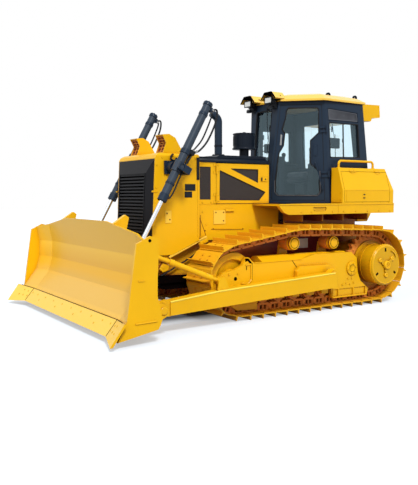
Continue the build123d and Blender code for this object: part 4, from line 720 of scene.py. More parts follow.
class DOZER_OT_trackwork(bpy.types.Operator):
    """Lay each track's shoes, links, pins and bolts round its wheels"""
    bl_idname = "dozer.trackwork"
    bl_label = "Tracks"

    def execute(self, context):
        pins = chain_pins()
        for side, sign in SIDES:
            for part, template, slot, finish in (("shoes", self.shoe(), "yellow_paint",
                    "track_paint"), ("chain", self.link(), "yellow_paint", "chain_paint")):
                bm = bmesh.new()
                for pin, after in zip(pins, pins[1:] + pins[:1]):
                    run = after - pin
                    ty, tz = run.normalized()
                    before = len(bm.verts)
                    bm.from_mesh(template)
                    bm.verts.ensure_lookup_table()
                    place = Matrix(((1, 0, 0, sign * TRACK_X), (0, run.x, -tz, pin.x),
                        (0, run.y, ty, pin.y), (0, 0, 0, 1)))
                    bmesh.ops.transform(bm, matrix=place, verts=bm.verts[before:])
                bpy.data.meshes.remove(template)
                piece = piece_from(bm, f"track_{part}_{side}", "machine", finish)
                if part == "shoes":
                    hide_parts("track_" + side)
        return {"FINISHED"}

    def shoe(self):
        """One shoe and its bolts: x across, y as a share of the link, z out from the pins."""
        bm = bmesh.new()
        low, top = PIN_TO_PLATE, PIN_TO_PLATE + PLATE_T
        outline = ((0.03, low), (0.035, top), (0.115, top + 0.002), (0.14, top + GROUSER_H),
            (0.185, top + GROUSER_H), (0.25, top + 0.004), (0.3, top), (0.92, top),
            (1.12, top - 0.016), (1.12, low - 0.012), (0.93, low))
        verts = [bm.verts.new((-SHOE_HALF, y, z)) for y, z in outline]
        made = bmesh.ops.extrude_face_region(bm, geom=[bm.faces.new(verts)])["geom"]
        bmesh.ops.translate(bm, verts=[part for part in made
            if isinstance(part, bmesh.types.BMVert)], vec=(2 * SHOE_HALF, 0, 0))
        middle = (RAIL_IN + RAIL_OUT) / 2
        for x in (-middle, middle):
            for y in (0.42, 0.74):
                bmesh.ops.create_cone(bm, cap_ends=True, segments=6, radius1=0.0165,
                    radius2=0.0145, depth=0.014, matrix=Matrix.Translation((x, y, top + 0.007))
                    @ Matrix.Diagonal((1, 1 / PITCH, 1, 1)))
        return self.template(bm, "shoe")

    def link(self):
        """The pair of links of one shoe, with their bosses, posts and pin ends."""
        bm = bmesh.new()
        for side in (-1, 1):
            inner, outer = side * RAIL_IN, side * RAIL_OUT
            for low, high, z_low, z_high, skin in ((0.07, 0.93, -0.05, -0.023, 0.0),
                    (0.12, 0.97, 0.036, 0.049, 0.001), (0.04, 0.24, -0.034, 0.046, 0.004),
                    (0.47, 0.56, -0.03, 0.046, 0.006), (0.8, 0.97, -0.034, 0.046, 0.004)):
                across = sorted((inner + side * skin, outer - side * skin))
                block(bm, (across[0], low, z_low), (across[1], high, z_high))
            for y, start, end, radius in ((0.0, inner, outer - side * 0.02, 0.036),
                    (1.0, inner + side * 0.02, outer, 0.036),
                    (0.0, outer - side * 0.02, outer + side * 0.006, 0.019)):
                bmesh.ops.create_cone(bm, cap_ends=True, segments=12, radius1=radius,
                    radius2=radius, depth=abs(end - start),
                    matrix=Matrix.Translation(((start + end) / 2, y, 0))
                    @ Matrix.Diagonal((1, 1 / PITCH, 1, 1)) @ Matrix.Rotation(pi / 2, 4, "Y"))
        # bushing between the links
        bmesh.ops.create_cone(bm, cap_ends=True, segments=12, radius1=0.03, radius2=0.03,
            depth=2 * RAIL_IN + 0.01, matrix=Matrix.Diagonal((1, 1 / PITCH, 1, 1))
            @ Matrix.Rotation(pi / 2, 4, "Y"))
        return self.template(bm, "link")

    def template(self, bm, name):
        bmesh.ops.recalc_face_normals(bm, faces=bm.faces)
        return mesh_from(bm, name)


# ---------------------------------------------------------------- running gear
def boss_rib(turn):
    """Corners of the rib from the filler ring to a boss."""
    out = Vector((0, cos(radians(turn)), sin(radians(turn))))
    across = Vector((0, -out.z, out.y))
    return [out * 0.045 - across * 0.02, out * 0.14 - across * 0.014, out * 0.14 + across * 0.014,
        out * 0.045 + across * 0.02]


@fitting("running_gear", "yellow_paint", smooth=True)
def hub_fittings(bm):
    turned(bm, HUB, ((-0.003, 0.283), (0.003, 0.279), (0.004, 0.272), (0.002, 0.266),
        (-0.003, 0.264)), 64)
    # flange with its bolts
    turned(bm, HUB, ((-0.04, 0.29), (-0.04, 0.301), (-0.037, 0.304), (-0.023, 0.304),
        (-0.02, 0.301), (-0.02, 0.29)), 64)
    for spot in circle(HUB - X * 0.031, 0.3035, 36):
        bolts(bm, [spot], (0, spot.y - HUB.y, spot.z - HUB.z), 0.0065, 0.007)
    turned(bm, HUB, washer(-0.235, -0.225, 0.29, 0.298), 64)
    # three bosses, the filler ring and its plugs
    for turn in (150, 36, 268):
        spot = HUB + Vector((0.0, 0.15 * cos(radians(turn)), 0.15 * sin(radians(turn))))
        turned(bm, spot, ((-0.004, 0.036), (0.017, 0.034), (0.023, 0.028), (0.023, 0.016),
            (0.018, 0.013), (0.018, 0.0), (-0.004, 0.0)), 24)
        prism(bm, [HUB + Vector((-0.002, part.y, part.z)) for part in boss_rib(turn)],
            (0.011, 0, 0), 0.002)
    turned(bm, HUB, ((0.01, 0.064), (0.034, 0.061), (0.042, 0.054), (0.042, 0.038), (0.034, 0.033),
        (0.034, 0.0), (0.01, 0.0)), 32)
    bolts(bm, circle(HUB + X * 0.034, 0.018, 3), X, 0.008, 0.008)
    # lifting ear over the cover
    route = [HUB + Vector((0.01, 0.15 * cos(radians(turn)) + 0.06,
        0.15 * sin(radians(turn)) + 0.06)) for turn in range(20, 80, 8)]
    tube(bm, route, 0.009, 8)


@fitting("running_gear", "black_paint", "deep_shade")
def hub_slots(bm):
    for turn in (94, -33, 214):
        spot = Vector((0.0, 0.222 * cos(radians(turn)), 0.222 * sin(radians(turn))))
        across = Vector((0, -sin(radians(turn)), cos(radians(turn)))) * 0.016
        outward = spot.normalized() * 0.026
        base = HUB + spot - X * 0.004
        prism(bm, [base + across * a + outward * b for a, b in ((-1, -1), (1, -1), (1, 1),
            (-1, 1))], (0.0062, 0, 0), 0.0015)


@fitting("running_gear", "yellow_paint", "chain_paint")
def sprocket_bolts(bm):
    bolts(bm, circle((TRACK_X + 0.032, HUB.y, HUB.z), 0.395, 28, first=pi / 28), X, 0.013, 0.016)


@fitting("running_gear", "yellow_paint", smooth=True)
def carrier_caps(bm):
    for y, z in ((0.431, 0.947), (1.168, 0.928)):
        centre = Vector((TRACK_X + 0.128, y, z))
        turned(bm, centre, ((-0.016, 0.084), (-0.012, 0.0905), (-0.002, 0.0905), (0.004, 0.084),
            (0.004, 0.077), (0.0, 0.072), (0.002, 0.05), (0.006, 0.022), (0.006, 0.0),
            (-0.016, 0.0)), 40)
        turned(bm, centre + Vector((-0.064, 0, 0)), ((0.0, 0.062), (0.0, 0.094), (0.014, 0.098),
            (0.024, 0.094), (0.024, 0.062)), 40)


@fitting("running_gear", "yellow_paint", smooth=True)
def frame_fittings(bm):
    # pivot cover with six bolts
    spot = Vector((PLATE_OUT + 0.016, 1.468, 0.548))
    turned(bm, spot, ((-0.004, 0.1), (0.004, 0.098), (0.006, 0.09), (0.006, 0.04), (0.002, 0.034),
        (0.002, 0.0), (-0.004, 0.0)), 36)
    bolts(bm, circle(spot + X * 0.006, 0.072, 6, first=0.26), X, 0.011, 0.01)
    # bolts over the roller guard and on the plates in front
    bolts(bm, [(PLATE_OUT, y, 0.318 + 0.018 * (index % 2))
        for index, y in enumerate((1.15, 1.215, 1.29, 1.365, 1.44, 1.515))], X, 0.013, 0.012)
    bolts(bm, at_x(PLATE_OUT, ((-0.79, 0.575), (-0.745, 0.515), (-0.7, 0.6), (1.4, 0.4),
        (1.475, 0.4), (-0.56, 0.6))), X, 0.013, 0.012)
    # rim of the front box, and its spring cover
    rim = ((-0.436, 0.701), (-0.347, 0.714), (-0.346, 0.508), (-0.391, 0.463), (-0.509, 0.472))
    rods(bm, at_x(PLATE_OUT + 0.004, rim), 0.01, 10)
    # ribs of the roller guard
    for y in (1.108, 1.215, 1.512, 1.762):
        block(bm, (PLATE_OUT - 0.014, y - 0.007, 0.15), (PLATE_OUT + 0.01, y + 0.007, 0.268),
            0.003)
    block(bm, (PLATE_OUT - 0.01, 1.1, 0.138), (PLATE_OUT + 0.018, 1.785, 0.158), 0.004)
    # seam along the top of the frame
    rod(bm, (PLATE_OUT + 0.001, -0.29, 0.722), (PLATE_OUT + 0.001, 0.52, 0.728), 0.006, 8)
    # trunnion cap
    turned(bm, (1.322, 0.923, 0.475), ((-0.008, 0.052), (0.01, 0.052), (0.014, 0.046),
        (0.014, 0.0), (-0.008, 0.0)), 32)
    # guard over the chain's front, and seams of the beam
    plate(bm, ((-0.64, 0.176), (-0.56, 0.196), (-0.213, 0.19), (-0.212, 0.1), (-0.54, 0.112)),
        1.064, 0.014, 0.004)
    block(bm, (1.06, -0.58, 0.19), (1.082, -0.205, 0.204), 0.003)


@fitting("running_gear", "black_paint", "deep_shade")
def frame_holes(bm):
    rod(bm, (PLATE_OUT, 0.343, 0.724), (PLATE_OUT, 0.476, 0.566), 0.0045, 6)
    plate(bm, ((-0.446, 0.79), (-0.392, 0.79), (-0.325, 0.716), (-0.352, 0.708), (-0.408, 0.76),
        (-0.44, 0.745)), PLATE_OUT - 0.004, 0.0065)
    for (y0, z0), (y1, z1) in (((-0.347, 0.714), (-0.346, 0.508)),
            ((-0.391, 0.463), (-0.509, 0.472)), ((-0.436, 0.705), (-0.436, 0.64))):
        rod(bm, (PLATE_OUT + 0.001, y0 + 0.014, z0), (PLATE_OUT + 0.001, y1 + 0.014, z1), 0.005, 6)
    for y, z in ((0.431, 0.947), (1.168, 0.928)):
        turned(bm, (TRACK_X + 0.108, y, z), washer(0.0, 0.009, 0.08, 0.0915), 40)
        turned(bm, (TRACK_X + 0.1305, y, z), washer(0.0, 0.0022, 0.066, 0.0715), 40)
    turned(bm, (PLATE_OUT + 0.0175, 1.468, 0.548), washer(-0.004, 0.006, 0.05, 0.054), 32)
    for y, z, radius in ((-0.82, 0.497, 0.02), (-0.597, 0.538, 0.024)):
        turned(bm, (PLATE_OUT, y, z), washer(-0.003, 0.0022, 0.0, radius), 20)


# ---------------------------------------------------------------- blade
EDGE_LOW, EDGE_HIGH = Vector((0, -2.532, 0.08)), Vector((0, -2.392, 0.251))
TIP_LOW, TIP_HIGH = Vector((0, -2.665, 0.045)), Vector((0, -2.497, 0.28))
FOLD_X, TIP_X = 1.42, 1.825


def on_edge(x, share):
    """A point on the front of the cutting edge."""
    out = max(0.0, x - FOLD_X) / (TIP_X - FOLD_X)
    low, high = EDGE_LOW.lerp(TIP_LOW, out), EDGE_HIGH.lerp(TIP_HIGH, out)
    return low.lerp(high, share) + Vector((x, 0, 0))


@fitting("blade_fittings", "yellow_paint", "dark_bolt_yellow", body="blade")
def edge_bolts(bm):
    out = (EDGE_HIGH - EDGE_LOW).cross(Vector((1, 0, 0))).normalized()
    if out.y > 0:
        out = -out
    places = ((0.16, 0.7), (0.48, 0.7), (0.8, 0.7), (1.12, 0.7), (1.34, 0.7), (0.32, 0.4),
        (0.96, 0.4), (1.5, 0.72), (1.6, 0.76), (1.46, 0.4), (1.56, 0.42), (1.66, 0.44))
    bolts(bm, [on_edge(*place) for place in places], out, 0.014, 0.004, corners=12, lean=0.7)


@fitting("blade_fittings", "black_paint", "deep_shade", body="blade")
def edge_seams(bm):
    # dark joint lines over the edge's top and between its lengths
    for start, end in ((on_edge(0.0, 1.0), on_edge(FOLD_X, 1.0)),
            (on_edge(FOLD_X, 0.02), on_edge(FOLD_X, 1.0)),
            (on_edge(FOLD_X, 1.0), on_edge(TIP_X - 0.09, 1.0))):
        rod(bm, start, end, 0.0045, 6)
    # eye of the end plate
    turned(bm, (1.7485, -2.159, 1.125), washer(-0.02, 0.003, 0.0, 0.0178), 20)


@fitting("blade_fittings", "yellow_paint", body="blade", smooth=True)
def blade_welds(bm):
    rod(bm, (1.752, -2.335, 0.247), (1.752, -2.083, 0.254), 0.009, 8)
    rod(bm, (1.752, -2.3, 0.7), (1.752, -2.225, 0.7), 0.007, 8)
    for x in (ARM_IN_X - 0.0475, ARM_OUT_X + 0.0375):
        rod(bm, (x - 0.022, -2.05, 0.4), (x - 0.022, -1.85, 0.381), 0.006, 8)
    # heads of the pins at the arm and the brace
    for x, y, z, radius in ((ARM_OUT_X + 0.06, -1.845, 0.3, 0.046), (1.201, -1.985, 0.972, 0.03),
            (0.825, -1.82, 0.88, 0.03)):
        turned(bm, (x, y, z), ((-0.004, radius), (0.012, radius), (0.017, radius * 0.85),
            (0.017, 0.0), (-0.004, 0.0)), 28)
    # upper rim behind the moldboard
    rod(bm, (0.0, -2.165, 1.288), (0.65, -2.165, 1.288), 0.008, 8)


@fitting("blade_fittings", "yellow_paint", "edge_highlight", body="blade", smooth=True)
def arm_edges(bm):
    # rolled upper edge of each push arm, its pale yellow a painted highlight
    spots = ((0.86, 0.542), (-1.06, 0.448), (-1.722, 0.38))
    rods(bm, at_x(ARM_OUT_X - 0.006, spots), 0.012, 12)


# ---------------------------------------------------------------- lift cylinders
YOKE = Vector((0.74, -1.22, 1.96))
EYE = Vector((0.74, -1.82, 0.88))
BARREL_UP, BARREL_DOWN, BARREL_R = 0.945, 0.467, 0.054


def beside(distance, back=0.0, across=0.0):
    """A point beside the barrel: down from its yoke, out behind it and across."""
    down = (EYE - YOKE).normalized()
    behind = Vector((1, 0, 0)).cross(down).normalized()
    if behind.y < 0:
        behind = -behind
    return YOKE + down * distance + behind * back + Vector((across, 0, 0))


@fitting("cylinder_lines", "dark_paint", body="barrel_{side}", smooth=True)
def cylinder_caps(bm):
    down = (EYE - YOKE).normalized()
    top = beside(-BARREL_UP)
    turned(bm, top, ((-0.045, 0.0545), (-0.04, 0.063), (-0.008, 0.063), (0.004, 0.058),
        (0.01, 0.046), (0.01, 0.0), (-0.045, 0.0)), 40, axis=-down)
    spots = [top - down * 0.008 + (beside(0, 0.04 * cos(turn), 0.04 * sin(turn)) - YOKE)
        for turn in (pi * index / 3 for index in range(6))]
    bolts(bm, spots, -down, 0.008, 0.008)
    # collars along the barrel
    for distance, wide, reach in ((-0.78, 0.02, 0.006), (-0.22, 0.03, 0.01), (0.24, 0.016, 0.006),
            (BARREL_DOWN - 0.03, 0.05, 0.008)):
        turned(bm, beside(distance), ((-wide, BARREL_R - 0.002), (-wide, BARREL_R + reach - 0.003),
            (-wide + 0.003, BARREL_R + reach), (wide - 0.003, BARREL_R + reach),
            (wide, BARREL_R + reach - 0.003), (wide, BARREL_R - 0.002)), 40, axis=down)
    # head port block
    slab = beside(-BARREL_UP + 0.06, 0.07)
    block(bm, slab - Vector((0.028, 0.022, 0.03)), slab + Vector((0.028, 0.022, 0.03)), 0.006)


@fitting("cylinder_lines", "black_paint", "black_plastic", body="barrel_{side}", smooth=True)
def cylinder_lines(bm):
    # bent steel lines from the head port to the clamp, and on down to the yoke
    tube(bm, curve([beside(-BARREL_UP + 0.05, 0.085, 0.014),
        beside(-BARREL_UP + 0.02, 0.15, 0.014), beside(-BARREL_UP + 0.16, 0.205, 0.014),
        beside(-0.52, 0.215, 0.014), beside(-0.34, 0.17, 0.012), beside(-0.255, 0.105, 0.01),
        beside(-0.1, 0.09, 0.01)]), 0.0125, 12)
    tube(bm, curve([beside(-BARREL_UP + 0.07, 0.085, -0.016),
        beside(-BARREL_UP + 0.08, 0.12, -0.016), beside(-BARREL_UP + 0.2, 0.14, -0.016),
        beside(-0.5, 0.15, -0.016), beside(-0.34, 0.115, -0.016), beside(-0.255, 0.085, -0.016),
        beside(-0.1, 0.082, -0.014)]), 0.0105, 12)
    tube(bm, curve([beside(-0.16, 0.066, 0.034), beside(0.05, 0.066, 0.038),
        beside(0.3, 0.078, 0.036), beside(0.4, 0.07, 0.03), beside(0.425, 0.052, 0.026)]), 0.01,
        12)
    # clamp bracket behind the barrel
    across = Vector((0.04, 0, 0))
    base, tip = beside(-0.255, 0.05), beside(-0.255, 0.12)
    lift = (beside(-0.23) - beside(-0.28)) * 0.6
    prism(bm, [base - across - lift, tip - across - lift, tip - across + lift,
        base - across + lift], across * 2, 0.004)


@fitting("cylinder_lines", "grey_iron", "steel", body="barrel_{side}", smooth=True)
def cylinder_fittings(bm):
    for distance, back, across in ((-BARREL_UP + 0.05, 0.092, 0.014),
            (-BARREL_UP + 0.07, 0.092, -0.016)):
        start = beside(distance, back - 0.014, across)
        rod(bm, start, start + (beside(0, 0.03) - YOKE), 0.017, 6)
    for across in (0.012, -0.016):
        rod(bm, beside(-0.285, 0.125 if across > 0 else 0.098, across),
            beside(-0.315, 0.148 if across > 0 else 0.108, across), 0.016, 6)
    rod(bm, beside(0.4, -0.05), beside(0.4, -0.068), 0.008, 8)


@fitting("cylinder_lines", "black_plastic", body="barrel_{side}", smooth=True)
def rod_wipers(bm):
    down = (EYE - YOKE).normalized()
    turned(bm, beside(BARREL_DOWN), ((-0.002, 0.029), (-0.002, 0.052), (0.006, 0.05),
        (0.014, 0.036), (0.014, 0.029)), 36, axis=down)


@fitting("cylinder_lines", "grey_iron", "steel", body="rod_{side}", smooth=True)
def rod_eye_nuts(bm):
    for x in (EYE.x - 0.04, EYE.x + 0.04):
        turned(bm, (x, EYE.y, EYE.z), washer(-0.003, 0.003, 0.034, 0.047), 28)


# ---------------------------------------------------------------- hull
HULL_X = 0.46


@fitting("hull_fittings", "yellow_paint", "plate_and_highlight_paint")
def hull_flanges(bm):
    # the flange's pale yellow is a painted highlight along the frame's upper edge
    x = HULL_X
    plate(bm, ((-1.225, 0.782), (-0.64, 1.03), (-0.652, 1.062), (-1.236, 0.814)), x - 0.01, 0.08,
        0.006)


@fitting("hull_fittings", "black_paint", "deep_shade")
def belly_shade_plates(bm):
    # near-black plates along the nose's foot and across its front: painted shade under the hull
    x = HULL_X
    plate(bm, ((-1.356, 0.452), (-1.356, 0.566), (-0.9, 0.545), (-0.3, 0.53), (-0.3, 0.452)),
        x - 0.004, 0.01, 0.002)
    block(bm, (0.0, -1.3575, 0.455), (x + 0.004, -1.351, 0.6), 0.002)
    # sump guard, with its nose sloping up; its near-black is painted shade under the hull
    plate(bm, ((-1.33, 0.456), (-1.23, 0.362), (-0.25, 0.362), (-0.15, 0.456)), 0.0, x - 0.03,
        0.004)


@fitting("hull_fittings", "black_plastic", "hose_rubber", smooth=True)
def hull_lines(bm):
    x = HULL_X + 0.018
    tube(bm, curve([(x, -1.33, 0.56), (x, -1.25, 0.59), (x, -1.05, 0.69), (x, -0.85, 0.79),
        (x, -0.76, 0.85)], 5), 0.011, 8)


@fitting("hull_fittings", "yellow_paint", "hull_paint")
def hull_lugs(bm):
    x = HULL_X
    plate(bm, ((-1.35, 0.645), (-1.3, 0.72), (-1.205, 0.69), (-1.22, 0.625), (-1.3, 0.6)),
        x - 0.002, 0.03, 0.005)
    turned(bm, (x + 0.026, -1.292, 0.668), ((-0.002, 0.0), (0.006, 0.0), (0.006, 0.02),
        (0.002, 0.024), (-0.002, 0.024)), 20)


@fitting("hull_fittings", "yellow_paint", "plate_and_highlight_paint")
def cover_plates(bm):
    lip(bm, (0.528, -1.29, 1.245), (0.537, -1.2, 1.405))
    lip(bm, (0.498, -0.524, 1.212), (0.508, -0.33, 1.398))


@fitting("hull_fittings", "grey_iron", "pale_plate")
def frame_plates(bm):
    block(bm, (0.63, 0.868, 0.832), (0.636, 1.06, 0.97), 0.002)
    bolts(bm, [(0.636, y, z) for y in (0.884, 1.014) for z in (0.846, 0.956)], X, 0.006, 0.004)


@fitting("hull_fittings", "yellow_paint", "bolt_shade")
def hull_seams(bm):
    for x, (y0, z0), (y1, z1) in ((0.531, (-0.752, 1.34), (-0.752, 1.06)),
            (0.501, (-0.742, 1.3), (-0.64, 1.045)), (0.501, (-0.56, 1.145), (-0.04, 1.128)),
            (0.501, (-0.478, 1.487), (0.59, 1.487))):
        rod(bm, (x, y0, z0), (x, y1, z1), 0.0035, 6)
    for x, spots in ((0.537, ((-1.225, 1.29), (-1.265, 1.37))),
            (0.508, ((-0.365, 1.255), (-0.49, 1.37), (-0.365, 1.37))),
            (0.5, ((-0.662, 1.127), (-0.527, 1.148), (-0.054, 1.057), (-0.031, 1.134)))):
        bolts(bm, at_x(x, spots), X, 0.01, 0.005, corners=10)


# ---------------------------------------------------------------- hood and guard
GUARD_X, HOOD_X = 0.53, 0.5


@fitting("hood_fittings", "yellow_paint")
def hood_plates(bm):
    g, h = GUARD_X, HOOD_X
    # ledge
    lip(bm, (h - 0.002, -0.335, 1.382), (h + 0.022, -0.195, 1.416))
    # folded edges of the side
    lip(bm, (h - 0.002, -0.745, 1.478), (h + 0.004, -0.49, 1.486))
    lip(bm, (h - 0.002, -0.49, 1.12), (h + 0.004, -0.04, 1.127))
    # side of the guard: rib in front of the hood
    lip(bm, (g - 0.001, -0.8, 1.05), (g + 0.005, -0.786, 2.06))
    # clevis on the frame's upper edge
    for offset in (0.0, 0.055):
        plate(bm, ((-0.77, 0.94), (-0.65, 0.985), (-0.668, 1.03), (-0.788, 0.985)),
            h + 0.002 + offset, 0.016, 0.003)


@fitting("hood_fittings", "yellow_paint")
def hood_bolts(bm):
    g, h = GUARD_X, HOOD_X
    bolts(bm, at_x(h, ((-0.7, 1.38), (-0.64, 1.21), (-0.56, 1.505), (-0.7, 1.505))), X, 0.011,
        0.008)
    spots = [(-1.44 + 0.01 * index, 1.12 + 0.29 * index) for index in range(4)]
    bolts(bm, at_x(g, (*spots, (-1.33, 2.085), (-1.08, 2.085), (-0.83, 2.085))), X, 0.011, 0.008)
    bolts(bm, [(h + 0.075, -0.718, 0.978), (h + 0.018, -0.718, 0.978)], X, 0.016, 0.012,
        corners=12)


@fitting("hood_fittings", "black_paint", "black_plastic")
def hood_dark_plates(bm):
    g = GUARD_X
    for y0, y1, z0, z1 in ((-0.992, -0.832, 1.664, 1.75), (-0.996, -0.884, 1.575, 1.652)):
        lip(bm, (g - 0.002, y0, z0), (g + 0.006, y1, z1))
        block(bm, (g + 0.005, y0 + 0.012, z0 + 0.012), (g + 0.0075, y1 - 0.012, z1 - 0.012), 0.001)
    # upright that carries the lines behind the guard
    plate(bm, ((-0.812, 1.806), (-0.772, 1.806), (-0.772, 2.1), (-0.812, 2.1)), g - 0.002, 0.014,
        0.003)
    bolts(bm, [(g + 0.012, -0.792, z) for z in (1.83, 1.96, 2.07)], X, 0.01, 0.008)


@fitting("hood_fittings", "black_paint", smooth=True)
def lifting_hooks(bm):
    centre = Vector((GUARD_X + 0.02, -1.172, 2.088))
    route = [centre + Vector((0, 0.04 * cos(radians(turn)), 0.04 * sin(radians(turn))))
        for turn in range(100, 361, 20)]
    tube(bm, [Vector((GUARD_X - 0.002, -1.18, 2.128)), *route], 0.011, 10)


@fitting("hood_fittings", "black_paint", "louvre_black", whole=True)
def grille_louvres(bm):
    # rim of the louvres, in the plane of the grille; rim and louvres are near-black, a painted
    # shade between the louvres
    lean = (2.079 - 1.0, -1.432 + 1.48)
    up = Vector((0, lean[1], lean[0])).normalized()
    out = X.cross(up).normalized()
    if out.y > 0:
        out = -out
    base = Vector((0, -1.48, 1.0)) + out * 0.0553

    def at(x, rise, lift=0.0):
        return base + up * rise + out * lift + Vector((x, 0, 0))
    for x in (-0.372, 0.372):
        prism(bm, [at(x - 0.01, 0.03), at(x + 0.01, 0.03), at(x + 0.01, 0.875),
            at(x - 0.01, 0.875)], out * 0.006, 0.002)
    for rise in (0.028, 0.877):
        prism(bm, [at(-0.382, rise - 0.009), at(0.382, rise - 0.009), at(0.382, rise + 0.009),
            at(-0.382, rise + 0.009)], out * 0.006, 0.002)
    # rolled edge of each louvre, and the bars behind them
    step = 0.825 / 19
    for index in range(19):
        rise = 0.04 + step * (index + 0.5)
        rod(bm, at(-0.362, rise + step * 0.29, -0.002), at(0.362, rise + step * 0.29, -0.002),
            0.0045, 8)
        prism(bm, [at(-0.362, rise + step * 0.26, -0.003), at(0.362, rise + step * 0.26, -0.003),
            at(0.362, rise - step * 0.1, -0.03), at(-0.362, rise - step * 0.1, -0.03)],
            out * -0.003)
    spots = [at(x, rise, 0.006) for x in (-0.372, 0.372) for rise in (0.06, 0.26, 0.46, 0.66,
        0.85)]
    bolts(bm, spots, out, 0.007, 0.005)


@fitting("hood_fittings", "yellow_paint")
def grille_latches(bm):
    block(bm, (0.52, -1.482, 1.64), (0.537, -1.4, 1.662), 0.004)


@fitting("hood_fittings", "yellow_paint", "grid_bar")
def lamp_bars(bm):
    # lattice bars over the lamps of each pod, their orange-brown a painted shade
    nose = ((-1.2664, 2.1593), (-1.2164, 2.28), (-1.2704, 2.3717))
    for x in (0.2825, 0.37, 0.4575):
        rods(bm, at_x(x, nose), 0.007)
    for share in (0.12, 0.5, 0.88):
        for (y0, z0), (y1, z1) in zip(nose, nose[1:]):
            y, z = y0 + (y1 - y0) * share, z0 + (z1 - z0) * share
            rod(bm, (0.283, y, z), (0.457, y, z), 0.0065, 6)


@fitting("hood_fittings", "black_paint", whole=True, smooth=True)
def hood_cover_fittings(bm):
    # hinge along the cover, lids and bolts
    rod(bm, (0.402, -0.7, 2.118), (0.402, 0.42, 2.118), 0.0075, 10)
    for y0, y1 in ((-0.745, -0.56), (0.05, 0.42)):
        block(bm, (0.22, y0, 2.11 if y1 < 0 else 2.15), (0.38, y1, 2.12 if y1 < 0 else 2.16),
            0.004)
    bolts(bm, [(0.512, y, 2.058) for y in (-0.7, -0.42, -0.14, 0.14, 0.4)], X, 0.008, 0.006)
    mirrored(bm)
    # clamp and rain lip of the exhaust, and rims of the precleaner
    turned(bm, (0, -0.11, 2.154), ((0.02, 0.056), (0.02, 0.09), (0.026, 0.092), (0.034, 0.09),
        (0.034, 0.056)), 36, axis=Z)
    turned(bm, (0, -0.11, 2.3), washer(0.0, 0.024, 0.054, 0.06), 36, axis=Z)
    bolts(bm, circle((0, -0.11, 2.188), 0.072, 6, axis="z"), Z, 0.008, 0.007)
    for z, reach, tall in ((2.276, 0.012, 0.022), (2.495, 0.006, 0.014)):
        turned(bm, (0, 0.35, z), ((0.0, 0.155), (0.0, 0.16 + reach), (0.003, 0.162 + reach),
            (tall - 0.003, 0.162 + reach), (tall, 0.16 + reach), (tall, 0.155)), 48, axis=Z)
    turned(bm, (0, 0.35, 2.154), ((0.0, 0.068), (0.0, 0.088), (0.012, 0.088), (0.02, 0.076),
        (0.02, 0.068)), 36, axis=Z)
    turned(bm, (0, 0.35, 2.512), ((0.0, 0.12), (0.006, 0.1), (0.01, 0.03), (0.022, 0.018),
        (0.022, 0.0), (0.0, 0.0)), 36, axis=Z)
    # slots round the precleaner
    for index in range(28):
        turn = 2 * pi * index / 28
        out = Vector((cos(turn), sin(turn), 0))
        spot = Vector((0, 0.35, 2.4)) + out * 0.1575
        along, rise = Vector((-out.y, out.x, 0)) * 0.006, Z * 0.07
        prism(bm, [spot - along - rise, spot + along - rise, spot + along + rise,
            spot - along + rise], out * 0.0064)


@fitting("hood_fittings", "yellow_paint", body="engine_door_{side}")
def engine_door_fittings(bm):
    h = HOOD_X
    lip(bm, (h - 0.002, 0.27, 1.795), (h + 0.005, 0.405, 1.865))
    for y0, y1, z0, z1 in ((-0.47, -0.462, 1.52, 2.01), (0.408, 0.416, 1.52, 2.01)):
        lip(bm, (h - 0.002, y0, z0), (h + 0.003, y1, z1))
    bolts(bm, at_x(h, ((-0.45, 1.515), (0.4, 1.515), (0.4, 2.01), (-0.45, 2.01))), X, 0.008, 0.005)


@fitting("hood_fittings", "black_paint", "black_plastic", body="engine_door_{side}")
def engine_door_latches(bm):
    h = HOOD_X
    block(bm, (h + 0.004, 0.282, 1.806), (h + 0.014, 0.302, 1.854), 0.002)
    turned(bm, (h + 0.012, 0.355, 1.83), washer(0.0, 0.003, 0.0, 0.011), 16)
    # frames round the screens
    for outline in (((-0.418, 1.94), (-0.424, 1.54), (0.252, 1.533), (0.362, 1.648)),
            ((-0.236, 1.967), (0.231, 1.965), (0.227, 1.782))):
        rods(bm, at_x(h - 0.002, outline + outline[:1]), 0.0045)


# ---------------------------------------------------------------- cab
CAB_LOW, CAB_HIGH = (((0.22, 0.622), (0.85, 1.281), (0.85, 2.13)),
    ((0.33, 0.734), (0.79, 1.215), (0.79, 1.986)))
CAB_FLOOR_Z, CAB_TOP_Z = 1.4843, 2.97
DOOR_LEAF = ((0.062, 0.044), (0.066, 0.33), (0.184, 1.436), (0.776, 1.436), (0.841, 0.044))
DOOR_GLASS = ((0.106, 0.16), (0.108, 0.33), (0.139, 0.61), (0.16, 0.745), (0.222, 0.85),
    (0.24, 1.02), (0.2, 1.085), (0.254, 1.257), (0.262, 1.36), (0.301, 1.4), (0.712, 1.396),
    (0.744, 1.365), (0.749, 1.022), (0.632, 0.911), (0.635, 0.587), (0.764, 0.465), (0.776, 0.16),
    (0.736, 0.108), (0.149, 0.11))
FRONT_GLASS = ((-0.18, 0.42), (-0.19, 1.36), (-0.17, 1.39), (0.17, 1.39), (0.19, 1.36),
    (0.18, 0.42))
SIDE_GLASS = ((0.022, 0.665), (0.004, 1.185), (0.608, 1.185), (0.636, 0.68))
VENT = ((0.012, 1.222), (0.002, 1.371), (0.58, 1.338), (0.592, 1.222))
REAR_GLASS = ((-0.6, 0.56), (-0.56, 1.3), (0.56, 1.3), (0.6, 0.56))


def cab_wall(first, second):
    (x0, y0), (x1, y1), (tx, ty) = CAB_LOW[first], CAB_LOW[second], CAB_HIGH[first]
    return Wall((x0, y0, CAB_FLOOR_Z), (x1 - x0, y1 - y0, 0),
        (tx - x0, ty - y0, CAB_TOP_Z - CAB_FLOOR_Z))


